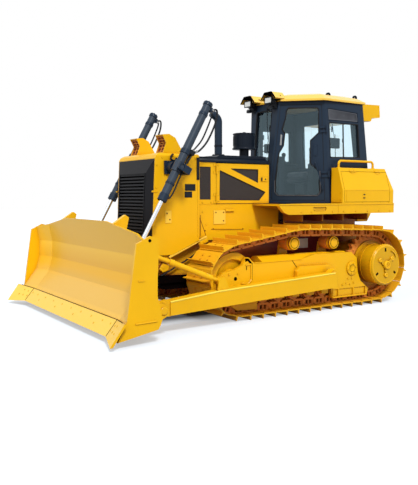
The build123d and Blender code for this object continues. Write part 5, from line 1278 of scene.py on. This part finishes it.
def cab_end(corner, facing):
    y0, ty = CAB_LOW[corner][1], CAB_HIGH[corner][1]
    return Wall((0, y0, CAB_FLOOR_Z), (facing, 0, 0), (0, ty - y0, CAB_TOP_Z - CAB_FLOOR_Z))


DOOR_WALL, SIDE_WALL = cab_wall(0, 1), cab_wall(1, 2)
FRONT_WALL, REAR_WALL = cab_end(0, 1), cab_end(2, -1)


@fitting("cab_fittings", "black_plastic", "hose_rubber", body="cab_door_{side}", smooth=True)
def cab_door_seals(bm):
    band_on(bm, DOOR_WALL, DOOR_GLASS, 0.017, -0.02, 0.003)
    # seal round the leaf, and the sill along its foot
    rods(bm, [DOOR_WALL.at(u, v, -0.006) for u, v in DOOR_LEAF + DOOR_LEAF[:1]], 0.005)


@fitting("cab_fittings", "dark_paint", body="cab_door_{side}")
def cab_door_fittings(bm):
    wall = DOOR_WALL
    # pressed rim round the glass
    for start, end in (((0.66, 0.62), (0.66, 0.89)), ((0.78, 0.47), (0.792, 0.15))):
        rod(bm, wall.at(*start, -0.004), wall.at(*end, -0.004), 0.006, 8)
    # lock plate, grab bar with its feet and its bolts
    slab_on(bm, wall, 0.665, 0.725, 0.69, 0.86, -0.005, 0.004, 0.003)
    route = [wall.at(*spot) for spot in ((0.7, 0.59, -0.004), (0.7, 0.59, 0.035),
        (0.712, 0.56, 0.045), (0.8, 0.24, 0.045), (0.808, 0.205, 0.035), (0.808, 0.205, -0.004))]
    tube(bm, curve(route, 4), 0.01, 8)
    bolts(bm, [wall.at(0.695, v, 0.004) for v in (0.71, 0.84)], wall.z, 0.008, 0.006)
    bolts(bm, [wall.at(u, v, -0.004) for u, v in ((0.77, 0.35), (0.8, 0.4), (0.7, 0.64))], wall.z,
        0.007, 0.005)
    # hinge bolts
    for rise in (0.43, 1.08):
        for lift in (-0.052, 0.052):
            bolts(bm, [wall.at(u, rise + lift, -0.004) for u in (0.735, 0.755)], wall.z, 0.007,
                0.005)


@fitting("cab_fittings", "grey_iron", "steel", body="cab_door_{side}", smooth=True)
def cab_door_handles(bm):
    wall = DOOR_WALL
    # recessed pull beside the glass, and its latch bar
    prism(bm, [wall.at(u, v, -0.005) for u, v in ((0.176, 0.853), (0.205, 0.853), (0.215, 1.0),
        (0.19, 1.015))], wall.z * 0.008, 0.003)
    rod(bm, wall.at(0.198, 0.865, 0.006), wall.at(0.205, 0.995, 0.006), 0.008, 12)


@fitting("cab_fittings", "black_plastic", "hose_rubber", smooth=True)
def side_window_seals(bm):
    band_on(bm, SIDE_WALL, SIDE_GLASS, 0.014, -0.026, 0.001, corner=0.03)
    # sliding pane's middle frame and its catch
    slab_on(bm, SIDE_WALL, 0.3, 0.318, 0.68, 1.18, -0.026, -0.012, 0.002)
    slab_on(bm, SIDE_WALL, 0.29, 0.302, 0.9, 0.95, -0.024, -0.008, 0.002)


@fitting("cab_fittings", "dark_paint")
def cab_side_fittings(bm):
    wall = SIDE_WALL
    for rise in (0.43, 1.08):
        bolts(bm, [wall.at(0.022, rise + lift, 0.008) for lift in (-0.008, 0.008)], wall.z, 0.005,
            0.004)
        slab_on(bm, wall, 0.052, 0.075, rise - 0.04, rise + 0.04, -0.001, 0.006, 0.002)
    bolts(bm, [wall.at(u, v) for u, v in ((0.05, 0.3), (0.05, 0.56), (0.72, 0.6), (0.7, 1.1),
        (0.68, 1.4))], wall.z, 0.008, 0.005)
    # gutter along the foot
    slab_on(bm, wall, 0.0, 0.84, 0.008, 0.034, -0.001, 0.006, 0.002)
    slab_on(bm, DOOR_WALL, 0.0, 0.9, 0.006, 0.03, -0.001, 0.006, 0.002)


@fitting("cab_fittings", "dark_paint", "vent_grey")
def cab_vents(bm):
    wall = SIDE_WALL
    (u0, v0), (u1, v1), (u2, v2), (u3, v3) = VENT
    prism(bm, [wall.at(u, v, -0.013) for u, v in VENT], wall.z * 0.004)
    for index in range(9):
        share = (index + 0.5) / 9
        start = (u0 + (u1 - u0) * share + 0.01, v0 + (v1 - v0) * share)
        end = (u3 + (u2 - u3) * share - 0.01, v3 + (v2 - v3) * share)
        prism(bm, [wall.at(start[0], start[1] - 0.004, -0.01),
            wall.at(end[0], end[1] - 0.003, -0.01), wall.at(end[0], end[1] + 0.002, -0.002),
            wall.at(start[0], start[1] + 0.003, -0.002)], wall.z * 0.0015)
    band_on(bm, wall, VENT, 0.008, -0.012, 0.0)
    bolts(bm, [wall.at(0.3, 1.287, -0.002)], wall.z, 0.01, 0.004, corners=12)


@fitting("cab_fittings", "black_paint", smooth=True)
def roof_eyes(bm):
    for y in (1.41, 1.96):
        turned(bm, (0.64, y, 3.08), washer(-0.003, 0.023, 0.018, 0.039), 28)
        block(bm, (0.61, y - 0.05, 3.028), (0.69, y + 0.05, 3.044), 0.004)


@fitting("cab_fittings", "black_plastic")
def roof_lamps(bm):
    # bezel and cooling ribs of each lamp
    for x in (0.168, 0.322):
        block(bm, (x, 0.592, 2.942), (x + 0.012, 0.604, 3.038), 0.003)
    for z in (2.941, 3.027):
        block(bm, (0.168, 0.592, z), (0.334, 0.604, z + 0.012), 0.003)
    for index in range(6):
        block(bm, (0.18 + 0.025 * index, 0.674, 2.952), (0.187 + 0.025 * index, 0.69, 3.028),
            0.001)
    # wiper motor box and cable under the brow
    block(bm, (0.235, 0.61, 2.86), (0.3, 0.664, 2.905), 0.006)
    tube(bm, curve([(0.215, 0.668, 2.94), (0.19, 0.65, 2.905), (0.205, 0.655, 2.87),
        (0.24, 0.66, 2.88)], 5), 0.005, 6)
    tube(bm, curve([(0.3, 0.672, 2.945), (0.33, 0.66, 2.915), (0.32, 0.668, 2.88),
        (0.296, 0.664, 2.885)], 5), 0.005, 6)


@fitting("cab_fittings", "black_plastic", "lamp_glass")
def roof_lamp_lenses(bm):
    block(bm, (0.181, 0.5955, 2.954), (0.321, 0.602, 3.026), 0.003)


@fitting("cab_fittings", "black_plastic", "deep_shade")
def brow_shade_sheets(bm):
    # near-black sheets under each brow, a thick dark rim round its front and a plate behind:
    # painted shade under the brows
    inner = ((0.098, 3.001), (0.181, 3.0905), (0.326, 3.0905), (0.402, 3.008))
    for (x0, z0), (x1, z1) in zip(inner, inner[1:]):
        drop = Vector((z1 - z0, 0, x0 - x1)).normalized() * 0.003
        prism(bm, [(x0, 0.588, z0), (x1, 0.588, z1), (x1, 0.715, z1), (x0, 0.715, z0)], drop)
    outer = ((0.084, 3.005), (0.178, 3.106), (0.33, 3.106), (0.417, 3.012))
    rods(bm, [(x, 0.592, z - 0.007) for x, z in outer], 0.012, 8)
    block(bm, (0.11, 0.716, 2.985), (0.39, 0.722, 3.06), 0.002)


@fitting("cab_fittings", "black_plastic")
def cab_boxes(bm):
    # dark box behind the side glass, with its bracket
    block(bm, (0.68, 1.3, 2.298), (0.744, 1.575, 2.448), 0.01)
    for index in range(5):
        block(bm, (0.742, 1.33 + 0.046 * index, 2.33), (0.749, 1.352 + 0.046 * index, 2.415),
            0.003)
    rod(bm, (0.7, 1.32, 2.33), (0.76, 1.285, 2.33), 0.008, 8)
    rod(bm, (0.7, 1.32, 2.415), (0.76, 1.285, 2.415), 0.008, 8)


@fitting("cab_fittings", "yellow_paint", "roof_shade")
def roof_gutters(bm):
    # drip rail under the edge of the roof, its red-brown a painted shade along the roof's edge
    plan = ((0.0, 0.728), (0.386, 0.728), (0.828, 1.182), (0.803, 2.018), (0.0, 2.018))
    rods(bm, [(x, y, 2.9715) for x, y in plan], 0.0065)


@fitting("cab_fittings", "yellow_paint", "roof_paint", whole=True)
def roof_crown(bm):
    """Raised panel on the roof, inset from its edge."""
    rings = []
    for inset, z in ((0.1, 3.04), (0.112, 3.066), (0.21, 3.096)):
        half = ((0.386 - inset * 0.45, 0.728 + inset), (0.828 - inset, 1.182 + inset * 0.42),
            (0.803 - inset, 2.018 - inset))
        plan = [*half, *((-x, y) for x, y in reversed(half))]
        rings.append([bm.verts.new((x, y, z)) for x, y in plan])
    for low, high in zip(rings, rings[1:]):
        for index in range(6):
            after = (index + 1) % 6
            bm.faces.new((low[index], low[after], high[after], high[index]))
    bm.faces.new(rings[0])
    bm.faces.new(rings[-1])
    bmesh.ops.bevel(bm, geom=bm.edges[:], offset=0.006, affect="EDGES", segments=2, profile=0.5,
        material=-1)


@fitting("cab_fittings", "grey_iron", "vent_grey", body="cab_door_{side}", smooth=True)
def cab_door_rims(bm):
    # pale inner lip of the seal along the foot of the glass
    foot = DOOR_GLASS[-4:] + DOOR_GLASS[:2]
    tube(bm, [DOOR_WALL.at(u, v + 0.009, 0.001) for u, v in foot], 0.0045, 6)


@fitting("cab_fittings", "black_plastic", "hose_rubber", whole=True, smooth=True)
def end_window_seals(bm):
    band_on(bm, FRONT_WALL, FRONT_GLASS, 0.016, -0.026, 0.002)
    band_on(bm, REAR_WALL, REAR_GLASS, 0.016, -0.026, 0.002, corner=0.04)


@fitting("cab_fittings", "black_plastic", whole=True, smooth=True)
def wipers(bm):
    for wall, sign, top in ((FRONT_WALL, 1, 1.41), (REAR_WALL, -1, 1.34)):
        pivot = wall.at(0.09 * sign, top, 0.01)
        turned(bm, pivot, ((-0.012, 0.0), (-0.012, 0.016), (0.016, 0.016), (0.02, 0.01),
            (0.02, 0.0)), 16, axis=wall.z)
        tip = wall.at(0.15 * sign, top - 0.46, 0.018)
        rod(bm, pivot + wall.z * 0.012, tip, 0.0055, 8, radius_end=0.004)
        rod(bm, wall.at(0.165 * sign, top - 0.24, 0.006), wall.at(0.14 * sign, top - 0.68, 0.006),
            0.0055, 6)


@fitting("cab_fittings", "dark_paint", whole=True)
def rear_wall_fittings(bm):
    for spot in (-0.42, 0.42):
        slab_on(bm, REAR_WALL, spot - 0.06, spot + 0.06, 0.52, 0.545, -0.001, 0.008, 0.002)
    bolts(bm, [REAR_WALL.at(u, v) for u in (-0.66, 0.66) for v in (0.3, 0.6, 0.9, 1.2)],
        REAR_WALL.z, 0.009, 0.006)


@fitting("cab_fittings", "black_plastic", whole=True, smooth=True)
def controls(bm):
    # steering and blade levers with boots, pedals and the dashboard
    for x, y in ((-0.35, 1.4), (0.35, 1.4)):
        turned(bm, (x, y, 2.08), ((0.0, 0.06), (0.006, 0.06), (0.02, 0.05), (0.026, 0.053),
            (0.04, 0.042), (0.046, 0.045), (0.06, 0.034), (0.066, 0.036), (0.085, 0.021),
            (0.085, 0.0), (0.0, 0.0)), 24, axis=Z)
        turned(bm, (x, y, 2.215), ((0.0, 0.0), (0.0, 0.021), (0.02, 0.032), (0.045, 0.034),
            (0.065, 0.024), (0.072, 0.0)), 20, axis=Z)
    for x in (-0.11, 0.11):
        block(bm, (x - 0.045, 0.82, 1.6), (x + 0.045, 0.835, 1.72), 0.006)
        rod(bm, (x, 0.835, 1.65), (x, 0.862, 1.65), 0.012, 8)
    block(bm, (-0.205, 0.852, 2.1), (0.205, 0.966, 2.186), 0.012)
    for x, y, z0, z1 in ((-0.35, 1.53, 2.08, 2.112), (0.35, 1.56, 2.08, 2.112)):
        block(bm, (x - 0.052, y - 0.13, z0), (x + 0.052, y + 0.13, z1), 0.014, 3)


@fitting("cab_fittings", "black_plastic", "hose_rubber", whole=True)
def floor_mat(bm):
    block(bm, (-0.42, 1.02, 1.5243), (0.42, 1.38, 1.532), 0.003)
    for index in range(16):
        block(bm, (-0.4, 1.04 + 0.021 * index, 1.531), (0.4, 1.048 + 0.021 * index, 1.536), 0.001)


@fitting("cab_fittings", "grey_iron", "steel", whole=True, smooth=True)
def dials(bm):
    for x in (-0.12, -0.04, 0.04, 0.12):
        turned(bm, (x, 0.966, 2.145), ((0.0, 0.026), (0.006, 0.026), (0.006, 0.022),
            (0.003, 0.021), (0.003, 0.0), (0.0, 0.0)), 24, axis=Y)


class DOZER_OT_running_gear(bpy.types.Operator):
    """Dress the final drives, sprockets, carriers, idlers and track frames"""
    bl_idname = "dozer.running_gear"
    bl_label = "Running gear"

    def execute(self, context):
        return fit("running_gear")


class DOZER_OT_blade_fittings(bpy.types.Operator):
    """Bolt on the cutting edges and dress the blade, its arms and braces"""
    bl_idname = "dozer.blade_fittings"
    bl_label = "Blade"

    def execute(self, context):
        return fit("blade_fittings")


class DOZER_OT_cylinder_lines(bpy.types.Operator):
    """Fit the lift cylinders with end caps, steel lines, clamps and grease fittings"""
    bl_idname = "dozer.cylinder_lines"
    bl_label = "Lift cylinders"

    def execute(self, context):
        return fit("cylinder_lines")


class DOZER_OT_hull_fittings(bpy.types.Operator):
    """Fit the hull with its flange in a painted highlight, near-black belly plates as painted
    shade, lines, lugs and cover plates
    """
    bl_idname = "dozer.hull_fittings"
    bl_label = "Hull"

    def execute(self, context):
        return fit("hull_fittings")


class DOZER_OT_hood_fittings(bpy.types.Operator):
    """Fit the guard, grille and hood with latches, hinges, bolts, plates and lamp grids"""
    bl_idname = "dozer.hood_fittings"
    bl_label = "Hood and guard"

    def execute(self, context):
        return fit("hood_fittings")


class DOZER_OT_cab_fittings(bpy.types.Operator):
    """Fit the cab with seals, handles, hinges, wipers, vents, lamps, lifting eyes and controls"""
    bl_idname = "dozer.cab_fittings"
    bl_label = "Cab"

    def execute(self, context):
        return fit("cab_fittings")


class DOZER_OT_operator_seat(bpy.types.Operator):
    """Upholster the seat: cushion, back and head rest over its pedestal"""
    bl_idname = "dozer.operator_seat"
    bl_label = "Seat"

    def execute(self, context):
        pads = (("seat_cushion", (-0.24, 1.335, 1.868), (0.24, 1.795, 1.955), (0, 0, 1), 0.8),
            ("seat_back", (-0.225, 1.8, 1.965), (0.225, 1.88, 2.4), (0, -1, 0), 0.8),
            ("head_rest", (-0.13, 1.812, 2.425), (0.13, 1.88, 2.552), (0, -1, 0), 0.8))
        pieces = [self.pad(*pad) for pad in pads]
        base = self.base()
        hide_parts("seat")
        for piece in pieces:
            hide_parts("seat")
        self.piping()
        return {"FINISHED"}

    def pad(self, name, low, high, crown, fill):
        """A cushion: a rounded block swollen by a short cloth run."""
        low, high, crown = Vector(low), Vector(high), Vector(crown)
        centre, half = (low + high) / 2, (high - low) / 2
        bm = bmesh.new()
        block(bm, low + half * 0.05, high - half * 0.05, min(half) * 0.55, 3)
        piece = object_from(mesh_from(bm, name), name)
        remesh = piece.modifiers.new("remesh", "REMESH")
        remesh.mode, remesh.voxel_size = "VOXEL", 0.006
        self.settle(piece)
        shape = [vert.co.copy() for vert in piece.data.vertices]
        cloth = piece.modifiers.new("cloth", "CLOTH")
        cloth.settings.use_pressure, cloth.settings.uniform_pressure_force = True, 4.0
        cloth.settings.effector_weights.gravity = 0.0
        cloth.settings.quality = 4
        for frame_number in range(1, 21):
            bpy.context.scene.frame_set(frame_number)
        self.settle(piece)
        bpy.context.scene.frame_set(1)
        cap = 0.012
        for vert, start in zip(piece.data.vertices, shape):
            move = vert.co - start
            if move.length > cap:
                move *= cap / move.length
            vert.co = start + move
        self.shape(piece, centre, half, crown)
        finish = piece.modifiers.new("smooth", "SUBSURF")
        finish.levels = finish.render_levels = 1
        self.settle(piece)
        for face in piece.data.polygons:
            face.use_smooth = True
        piece.data.materials.append(FINISHES["seat_cloth"])
        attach(piece, "machine")
        return piece

    def shape(self, piece, centre, half, crown):
        """Crown the pad, draw its sides in between the corners and sink its sewn channels."""
        thin = [abs(part) > 0.5 for part in crown].index(True)
        flat = [axis for axis in range(3) if axis != thin]
        for vert in piece.data.vertices:
            share = [(vert.co[axis] - centre[axis]) / half[axis] for axis in range(3)]
            u, v = (share[axis] for axis in flat)
            for axis, other in (flat, flat[::-1]):
                near = max(0.0, 1.0 - share[other] ** 2)
                vert.co[axis] -= share[axis] * 0.008 * near * abs(share[axis])
            top = max(0.0, share[thin] * (1 if crown[thin] > 0 else -1))
            rise = 0.007 * top * max(0.0, 1 - u * u) * max(0.0, 1 - v * v)
            groove = sum((max(0.0, 1.0 - abs(v - line) / 0.045)
                for line in ((-0.42, 0.0, 0.42) if half[flat[1]] > 0.1 else ())))
            seam = max(0.0, 1.0 - abs(abs(u) - 0.62) / 0.035)
            sink = 0.006 * top * min(1.0, groove * (1.0 if abs(u) < 0.62 else 0.0) + seam * 0.9)
            vert.co += crown * (rise - sink)

    def settle(self, piece):
        """Apply whatever modifiers the piece has to its mesh."""
        graph = bpy.context.evaluated_depsgraph_get()
        mesh = bpy.data.meshes.new_from_object(piece.evaluated_get(graph))
        piece.modifiers.clear()
        old, piece.data = piece.data, mesh
        bpy.data.meshes.remove(old)
        mesh.name = piece.name

    def base(self):
        bm = bmesh.new()
        # suspension under the cushion: slide rails, bellows, pan and the shell behind the back
        block(bm, (-0.175, 1.39, 1.5246), (0.175, 1.71, 1.56), 0.008)
        ring = ((0.0, 0.0), (0.0, 0.15), (0.03, 0.158), (0.06, 0.146), (0.09, 0.158),
            (0.12, 0.146), (0.15, 0.158), (0.18, 0.146), (0.21, 0.158), (0.24, 0.15), (0.24, 0.0))
        turned(bm, (0, 1.55, 1.558), ring, 4, axis=Z)
        block(bm, (-0.215, 1.35, 1.798), (0.215, 1.78, 1.842), 0.012)
        block(bm, (-0.235, 1.34, 1.835), (0.235, 1.79, 1.866), 0.012)
        plate(bm, ((1.792, 1.84), (1.872, 1.85), (1.898, 1.96), (1.898, 2.42), (1.882, 2.42),
            (1.872, 1.98), (1.792, 1.862)), -0.215, 0.43, 0.006)
        for x in (-0.07, 0.07):
            rod(bm, (x, 1.885, 2.4), (x, 1.86, 2.52), 0.008, 10)
        return piece_from(bm, "seat_base", "machine", "black_plastic", smooth=True)

    def piping(self):
        bm = bmesh.new()
        corners = ((-0.232, 1.35), (0.232, 1.35), (0.232, 1.78), (-0.232, 1.78), (-0.232, 1.35))
        rods(bm, [(x, y, 1.872) for x, y in corners], 0.0045, 8)
        piece_from(bm, "seat_piping", "machine", "hose_rubber", smooth=True)


# ---------------------------------------------------------------- decks, boxes and tank
DECK_X = 1.1


@fitting("deck_fittings", "yellow_paint")
def deck_fittings(bm):
    x = DECK_X
    # rim of the slot, seam and edge bolts
    for z in (1.388, 1.44):
        rod(bm, (x, 0.765, z), (x, 0.95, z), 0.005, 6)
    block(bm, (x - 0.001, 0.14, 1.466), (x + 0.006, 2.365, 1.486), 0.003)
    block(bm, (x - 0.001, 1.208, 1.345), (x + 0.004, 1.214, 1.482), 0.001)
    bolts(bm, [(x, y, 1.372) for y in (0.52, 0.7, 1.1, 1.32, 1.56, 1.8, 2.04, 2.28)], X, 0.011,
        0.008)
    # stay from the deck's front to the hood
    plate(bm, ((0.14, 1.462), (0.61, 1.462), (0.61, 1.415), (0.56, 1.4)), 0.54, 0.014, 0.003)


@fitting("deck_fittings", "black_plastic", "hose_rubber")
def deck_treads(bm):
    # pierced anti-slip strips on the deck's top
    for index in range(5):
        y = 0.23 + 0.07 * index
        block(bm, (0.62, y, 1.4838), (1.07, y + 0.034, 1.4885), 0.001)


@fitting("deck_fittings", "yellow_paint")
def box_fittings(bm):
    x = DECK_X
    # stiffening fold on the box's front, and bolts on its front and along its side
    block(bm, (0.895, 1.284, 1.5), (1.085, 1.292, 1.52), 0.002)
    bolts(bm, [(x - 0.04, 1.29, z) for z in (1.54, 1.64)], -Y, 0.009, 0.006)
    bolts(bm, [(x, y, 1.497) for y in (1.32, 1.7, 2.08, 2.25)], X, 0.007, 0.005)


@fitting("deck_fittings", "yellow_paint", smooth=True)
def rail_feet(bm):
    for y in (1.4, 2.11):
        turned(bm, (0.9, y, 2.0), ((0.0, 0.017), (0.0, 0.034), (0.006, 0.034), (0.012, 0.022),
            (0.018, 0.018)), 24, axis=Z)


@fitting("deck_fittings", "yellow_paint", body="box_door_{side}")
def box_door_fittings(bm):
    x = DECK_X
    # pressed panels left bare, and the rim along the shoulder
    block(bm, (x - 0.001, 1.37, 1.516), (x + 0.004, 1.38, 1.672), 0.001)
    rod(bm, (x - 0.001, 1.34, 1.678), (x - 0.001, 2.262, 1.678), 0.004, 8)
    block(bm, (x - 0.001, 1.7, 1.552), (x + 0.0035, 1.752, 1.64), 0.001)


@fitting("deck_fittings", "black_plastic", body="box_door_{side}")
def box_door_latches(bm):
    x = DECK_X
    block(bm, (x + 0.003, 1.71, 1.606), (x + 0.009, 1.742, 1.622), 0.002)
    block(bm, (x + 0.003, 1.708, 1.56), (x + 0.01, 1.744, 1.572), 0.002)


@fitting("deck_fittings", "yellow_paint", whole=True, smooth=True)
def tank_fittings(bm):
    # filler cap, straps and steps at the back
    turned(bm, (-0.3, 2.3, 1.99), ((0.0, 0.06), (0.012, 0.06), (0.016, 0.054), (0.016, 0.048),
        (0.05, 0.046), (0.056, 0.038), (0.056, 0.0), (0.0, 0.0)), 28, axis=Z)
    for x in (-0.33, 0.33):
        block(bm, (x - 0.025, 2.484, 1.33), (x + 0.025, 2.498, 1.86), 0.004)
    bolts(bm, [(x, 2.496, z) for x in (-0.33, 0.33) for z in (1.37, 1.6, 1.83)], Y, 0.011, 0.009)
    for z in (1.42, 1.64):
        tube(bm, curve([(-0.15, 2.492, z), (-0.15, 2.545, z), (0.0, 2.552, z), (0.15, 2.545, z),
            (0.15, 2.492, z)], 6), 0.012, 10)


@fitting("deck_fittings", "black_plastic", whole=True)
def roof_box_louvres(bm):
    for x in (-0.42, 0.42):
        block(bm, (x - 0.075, 2.569, 2.868), (x + 0.075, 2.576, 2.98), 0.002)
        for index in range(5):
            block(bm, (x - 0.07, 2.574, 2.876 + 0.021 * index),
                (x + 0.07, 2.58, 2.884 + 0.021 * index), 0.001)


@fitting("deck_fittings", "yellow_paint", whole=True)
def roof_box_bolts(bm):
    for x in (-0.56, 0.56):
        block(bm, (x - 0.03, 2.2, 2.756), (x + 0.03, 2.36, 2.762), 0.002)
    for side in (-1, 1):
        bolts(bm, at_x(0.6 * side, ((2.08, 2.8), (2.08, 2.98), (2.54, 2.99), (2.54, 2.86))),
            X * side, 0.008, 0.006)
    rod(bm, (-0.602, 2.388, 2.79), (-0.602, 2.388, 2.82), 0.004, 6)


class DOZER_OT_deck_fittings(bpy.types.Operator):
    """Fit the decks, side boxes, rails and tank with latches, seams, caps, treads and steps"""
    bl_idname = "dozer.deck_fittings"
    bl_label = "Decks and boxes"

    def execute(self, context):
        return fit("deck_fittings")


class DOZER_OT_stage(bpy.types.Operator):
    """Set up the floor, the lights and the camera"""
    bl_idname = "dozer.stage"
    bl_label = "Stage"

    def execute(self, context):
        stage = context.scene.dozer_stage
        self.floor(stage)
        self.lights(context, stage)
        self.camera(context, stage)
        context.scene.view_settings.view_transform = "Standard"
        return {"FINISHED"}

    def floor(self, stage):
        bm = bmesh.new()
        bmesh.ops.create_grid(bm, x_segments=1, y_segments=1, size=60.0)
        floor = object_from(mesh_from(bm, "studio_floor"), "studio_floor")
        shader = Shader("studio_floor")
        path = shader.tree.nodes.new("ShaderNodeLightPath")
        seen = sum((Signal(shader, path.outputs[name]) for name in SEEN_RAYS)).math("MINIMUM", 1.0)
        grey, white, black = (linear(150, 150, 152),
            (stage.floor * 0.88, stage.floor * 0.98, stage.floor * 1.1, 1.0), (0.0, 0.0, 0.0, 1.0))
        glow = (stage.glow, stage.glow, stage.glow, 1.0)
        # painted shadow under the hull, between the tracks: the floor is darkened there and loses
        # its glow
        place = shader.add("ShaderNodeSeparateXYZ", None, (shader.place,))
        across, along = place["X"].math("ABSOLUTE"), (place["Y"] + 0.1).math("ABSOLUTE")
        under = (1.0 - across.between(0.55, 0.95)) * (1.0 - along.between(1.5, 2.1))
        base = shader.mix(under * 0.8, shader.mix(seen, grey, white), (0.03, 0.03, 0.03, 1.0))
        shader.surface(Base_Color=base, Roughness=0.9, Specular_IOR_Level=0.0,
            Emission_Color=shader.mix(seen * (1.0 - under), black, glow), Emission_Strength=1.0)
        floor.data.materials.append(shader.material)

    def lights(self, context, stage):
        world = bpy.data.worlds.new("studio")
        world.use_nodes = True
        tree = world.node_tree
        tree.nodes.clear()
        out = tree.nodes.new("ShaderNodeOutputWorld")
        light = tree.nodes.new("ShaderNodeBackground")
        seen = tree.nodes.new("ShaderNodeBackground")
        path = tree.nodes.new("ShaderNodeLightPath")
        mix = tree.nodes.new("ShaderNodeMixShader")
        light.inputs["Color"].default_value = (0.94, 0.97, 1.0, 1.0)
        light.inputs["Strength"].default_value = stage.sky
        seen.inputs["Color"].default_value = (1.0, 1.0, 1.0, 1.0)
        seen.inputs["Strength"].default_value = 1.0
        shares = []
        for name in SEEN_RAYS:
            node = tree.nodes.new("ShaderNodeMath")
            node.operation, node.use_clamp = "ADD", True
            node.inputs[1].default_value = 0.0
            tree.links.new(path.outputs[name], node.inputs[0])
            if shares:
                tree.links.new(shares[-1], node.inputs[1])
            shares.append(node.outputs["Value"])
        tree.links.new(shares[-1], mix.inputs["Fac"])
        tree.links.new(light.outputs["Background"], mix.inputs[1])
        tree.links.new(seen.outputs["Background"], mix.inputs[2])
        tree.links.new(mix.outputs["Shader"], out.inputs["Surface"])
        context.scene.world = world
        # name, direction the light comes from, strength, angular size
        for name, source, strength, angle in (("key_light", (0.95, -0.3, 1.0), stage.sun, 12.0),
                ("fill_light", (0.2, -1.0, 0.55), stage.sun * 0.22, 40.0)):
            data = bpy.data.lights.new(name, "SUN")
            data.energy, data.angle = strength, radians(angle)
            lamp = object_from(data, name)
            lamp.rotation_euler = Vector(source).to_track_quat("Z", "Y").to_euler()

    def camera(self, context, stage):
        data = bpy.data.cameras.new("camera")
        data.lens, data.sensor_width = stage.lens, 36.0
        data.clip_end = 200.0
        camera = object_from(data, "camera")
        camera.location = stage.eye
        camera.rotation_euler = (pi / 2 - stage.pitch, 0.0, stage.heading)
        context.scene.camera = camera


class DOZER_PT_panel(bpy.types.Panel):
    """Sizes, colours and steps of the dozer's looks"""
    bl_label = "Crawler dozer"
    bl_idname = "DOZER_PT_panel"
    bl_space_type = "VIEW_3D"
    bl_region_type = "UI"
    bl_category = "Dozer"

    def draw(self, context):
        for group in SETTINGS:
            box = self.layout.box()
            settings = getattr(context.scene, group)
            for name in settings.__annotations__:
                box.prop(settings, name)
        for step in STEPS:
            self.layout.operator(step.bl_idname)


SETTINGS = {"dozer_finish": DozerFinish, "dozer_stage": DozerStage}
STEPS = (DOZER_OT_stage, DOZER_OT_finishes, DOZER_OT_trackwork, DOZER_OT_running_gear,
    DOZER_OT_blade_fittings, DOZER_OT_cylinder_lines, DOZER_OT_hull_fittings,
    DOZER_OT_hood_fittings, DOZER_OT_cab_fittings, DOZER_OT_operator_seat, DOZER_OT_deck_fittings)


def register():
    for group in (*SETTINGS.values(), *STEPS, DOZER_PT_panel):
        bpy.utils.register_class(group)
    for name, group in SETTINGS.items():
        setattr(bpy.types.Scene, name, PointerProperty(type=group))


def unregister():
    for name in SETTINGS:
        delattr(bpy.types.Scene, name)
    for group in reversed((*SETTINGS.values(), *STEPS, DOZER_PT_panel)):
        bpy.utils.unregister_class(group)


def main():
    register()
    for step in STEPS:
        family, name = step.bl_idname.split(".")
        getattr(getattr(bpy.ops, family), name)()


if __name__ == "__main__":
    main()
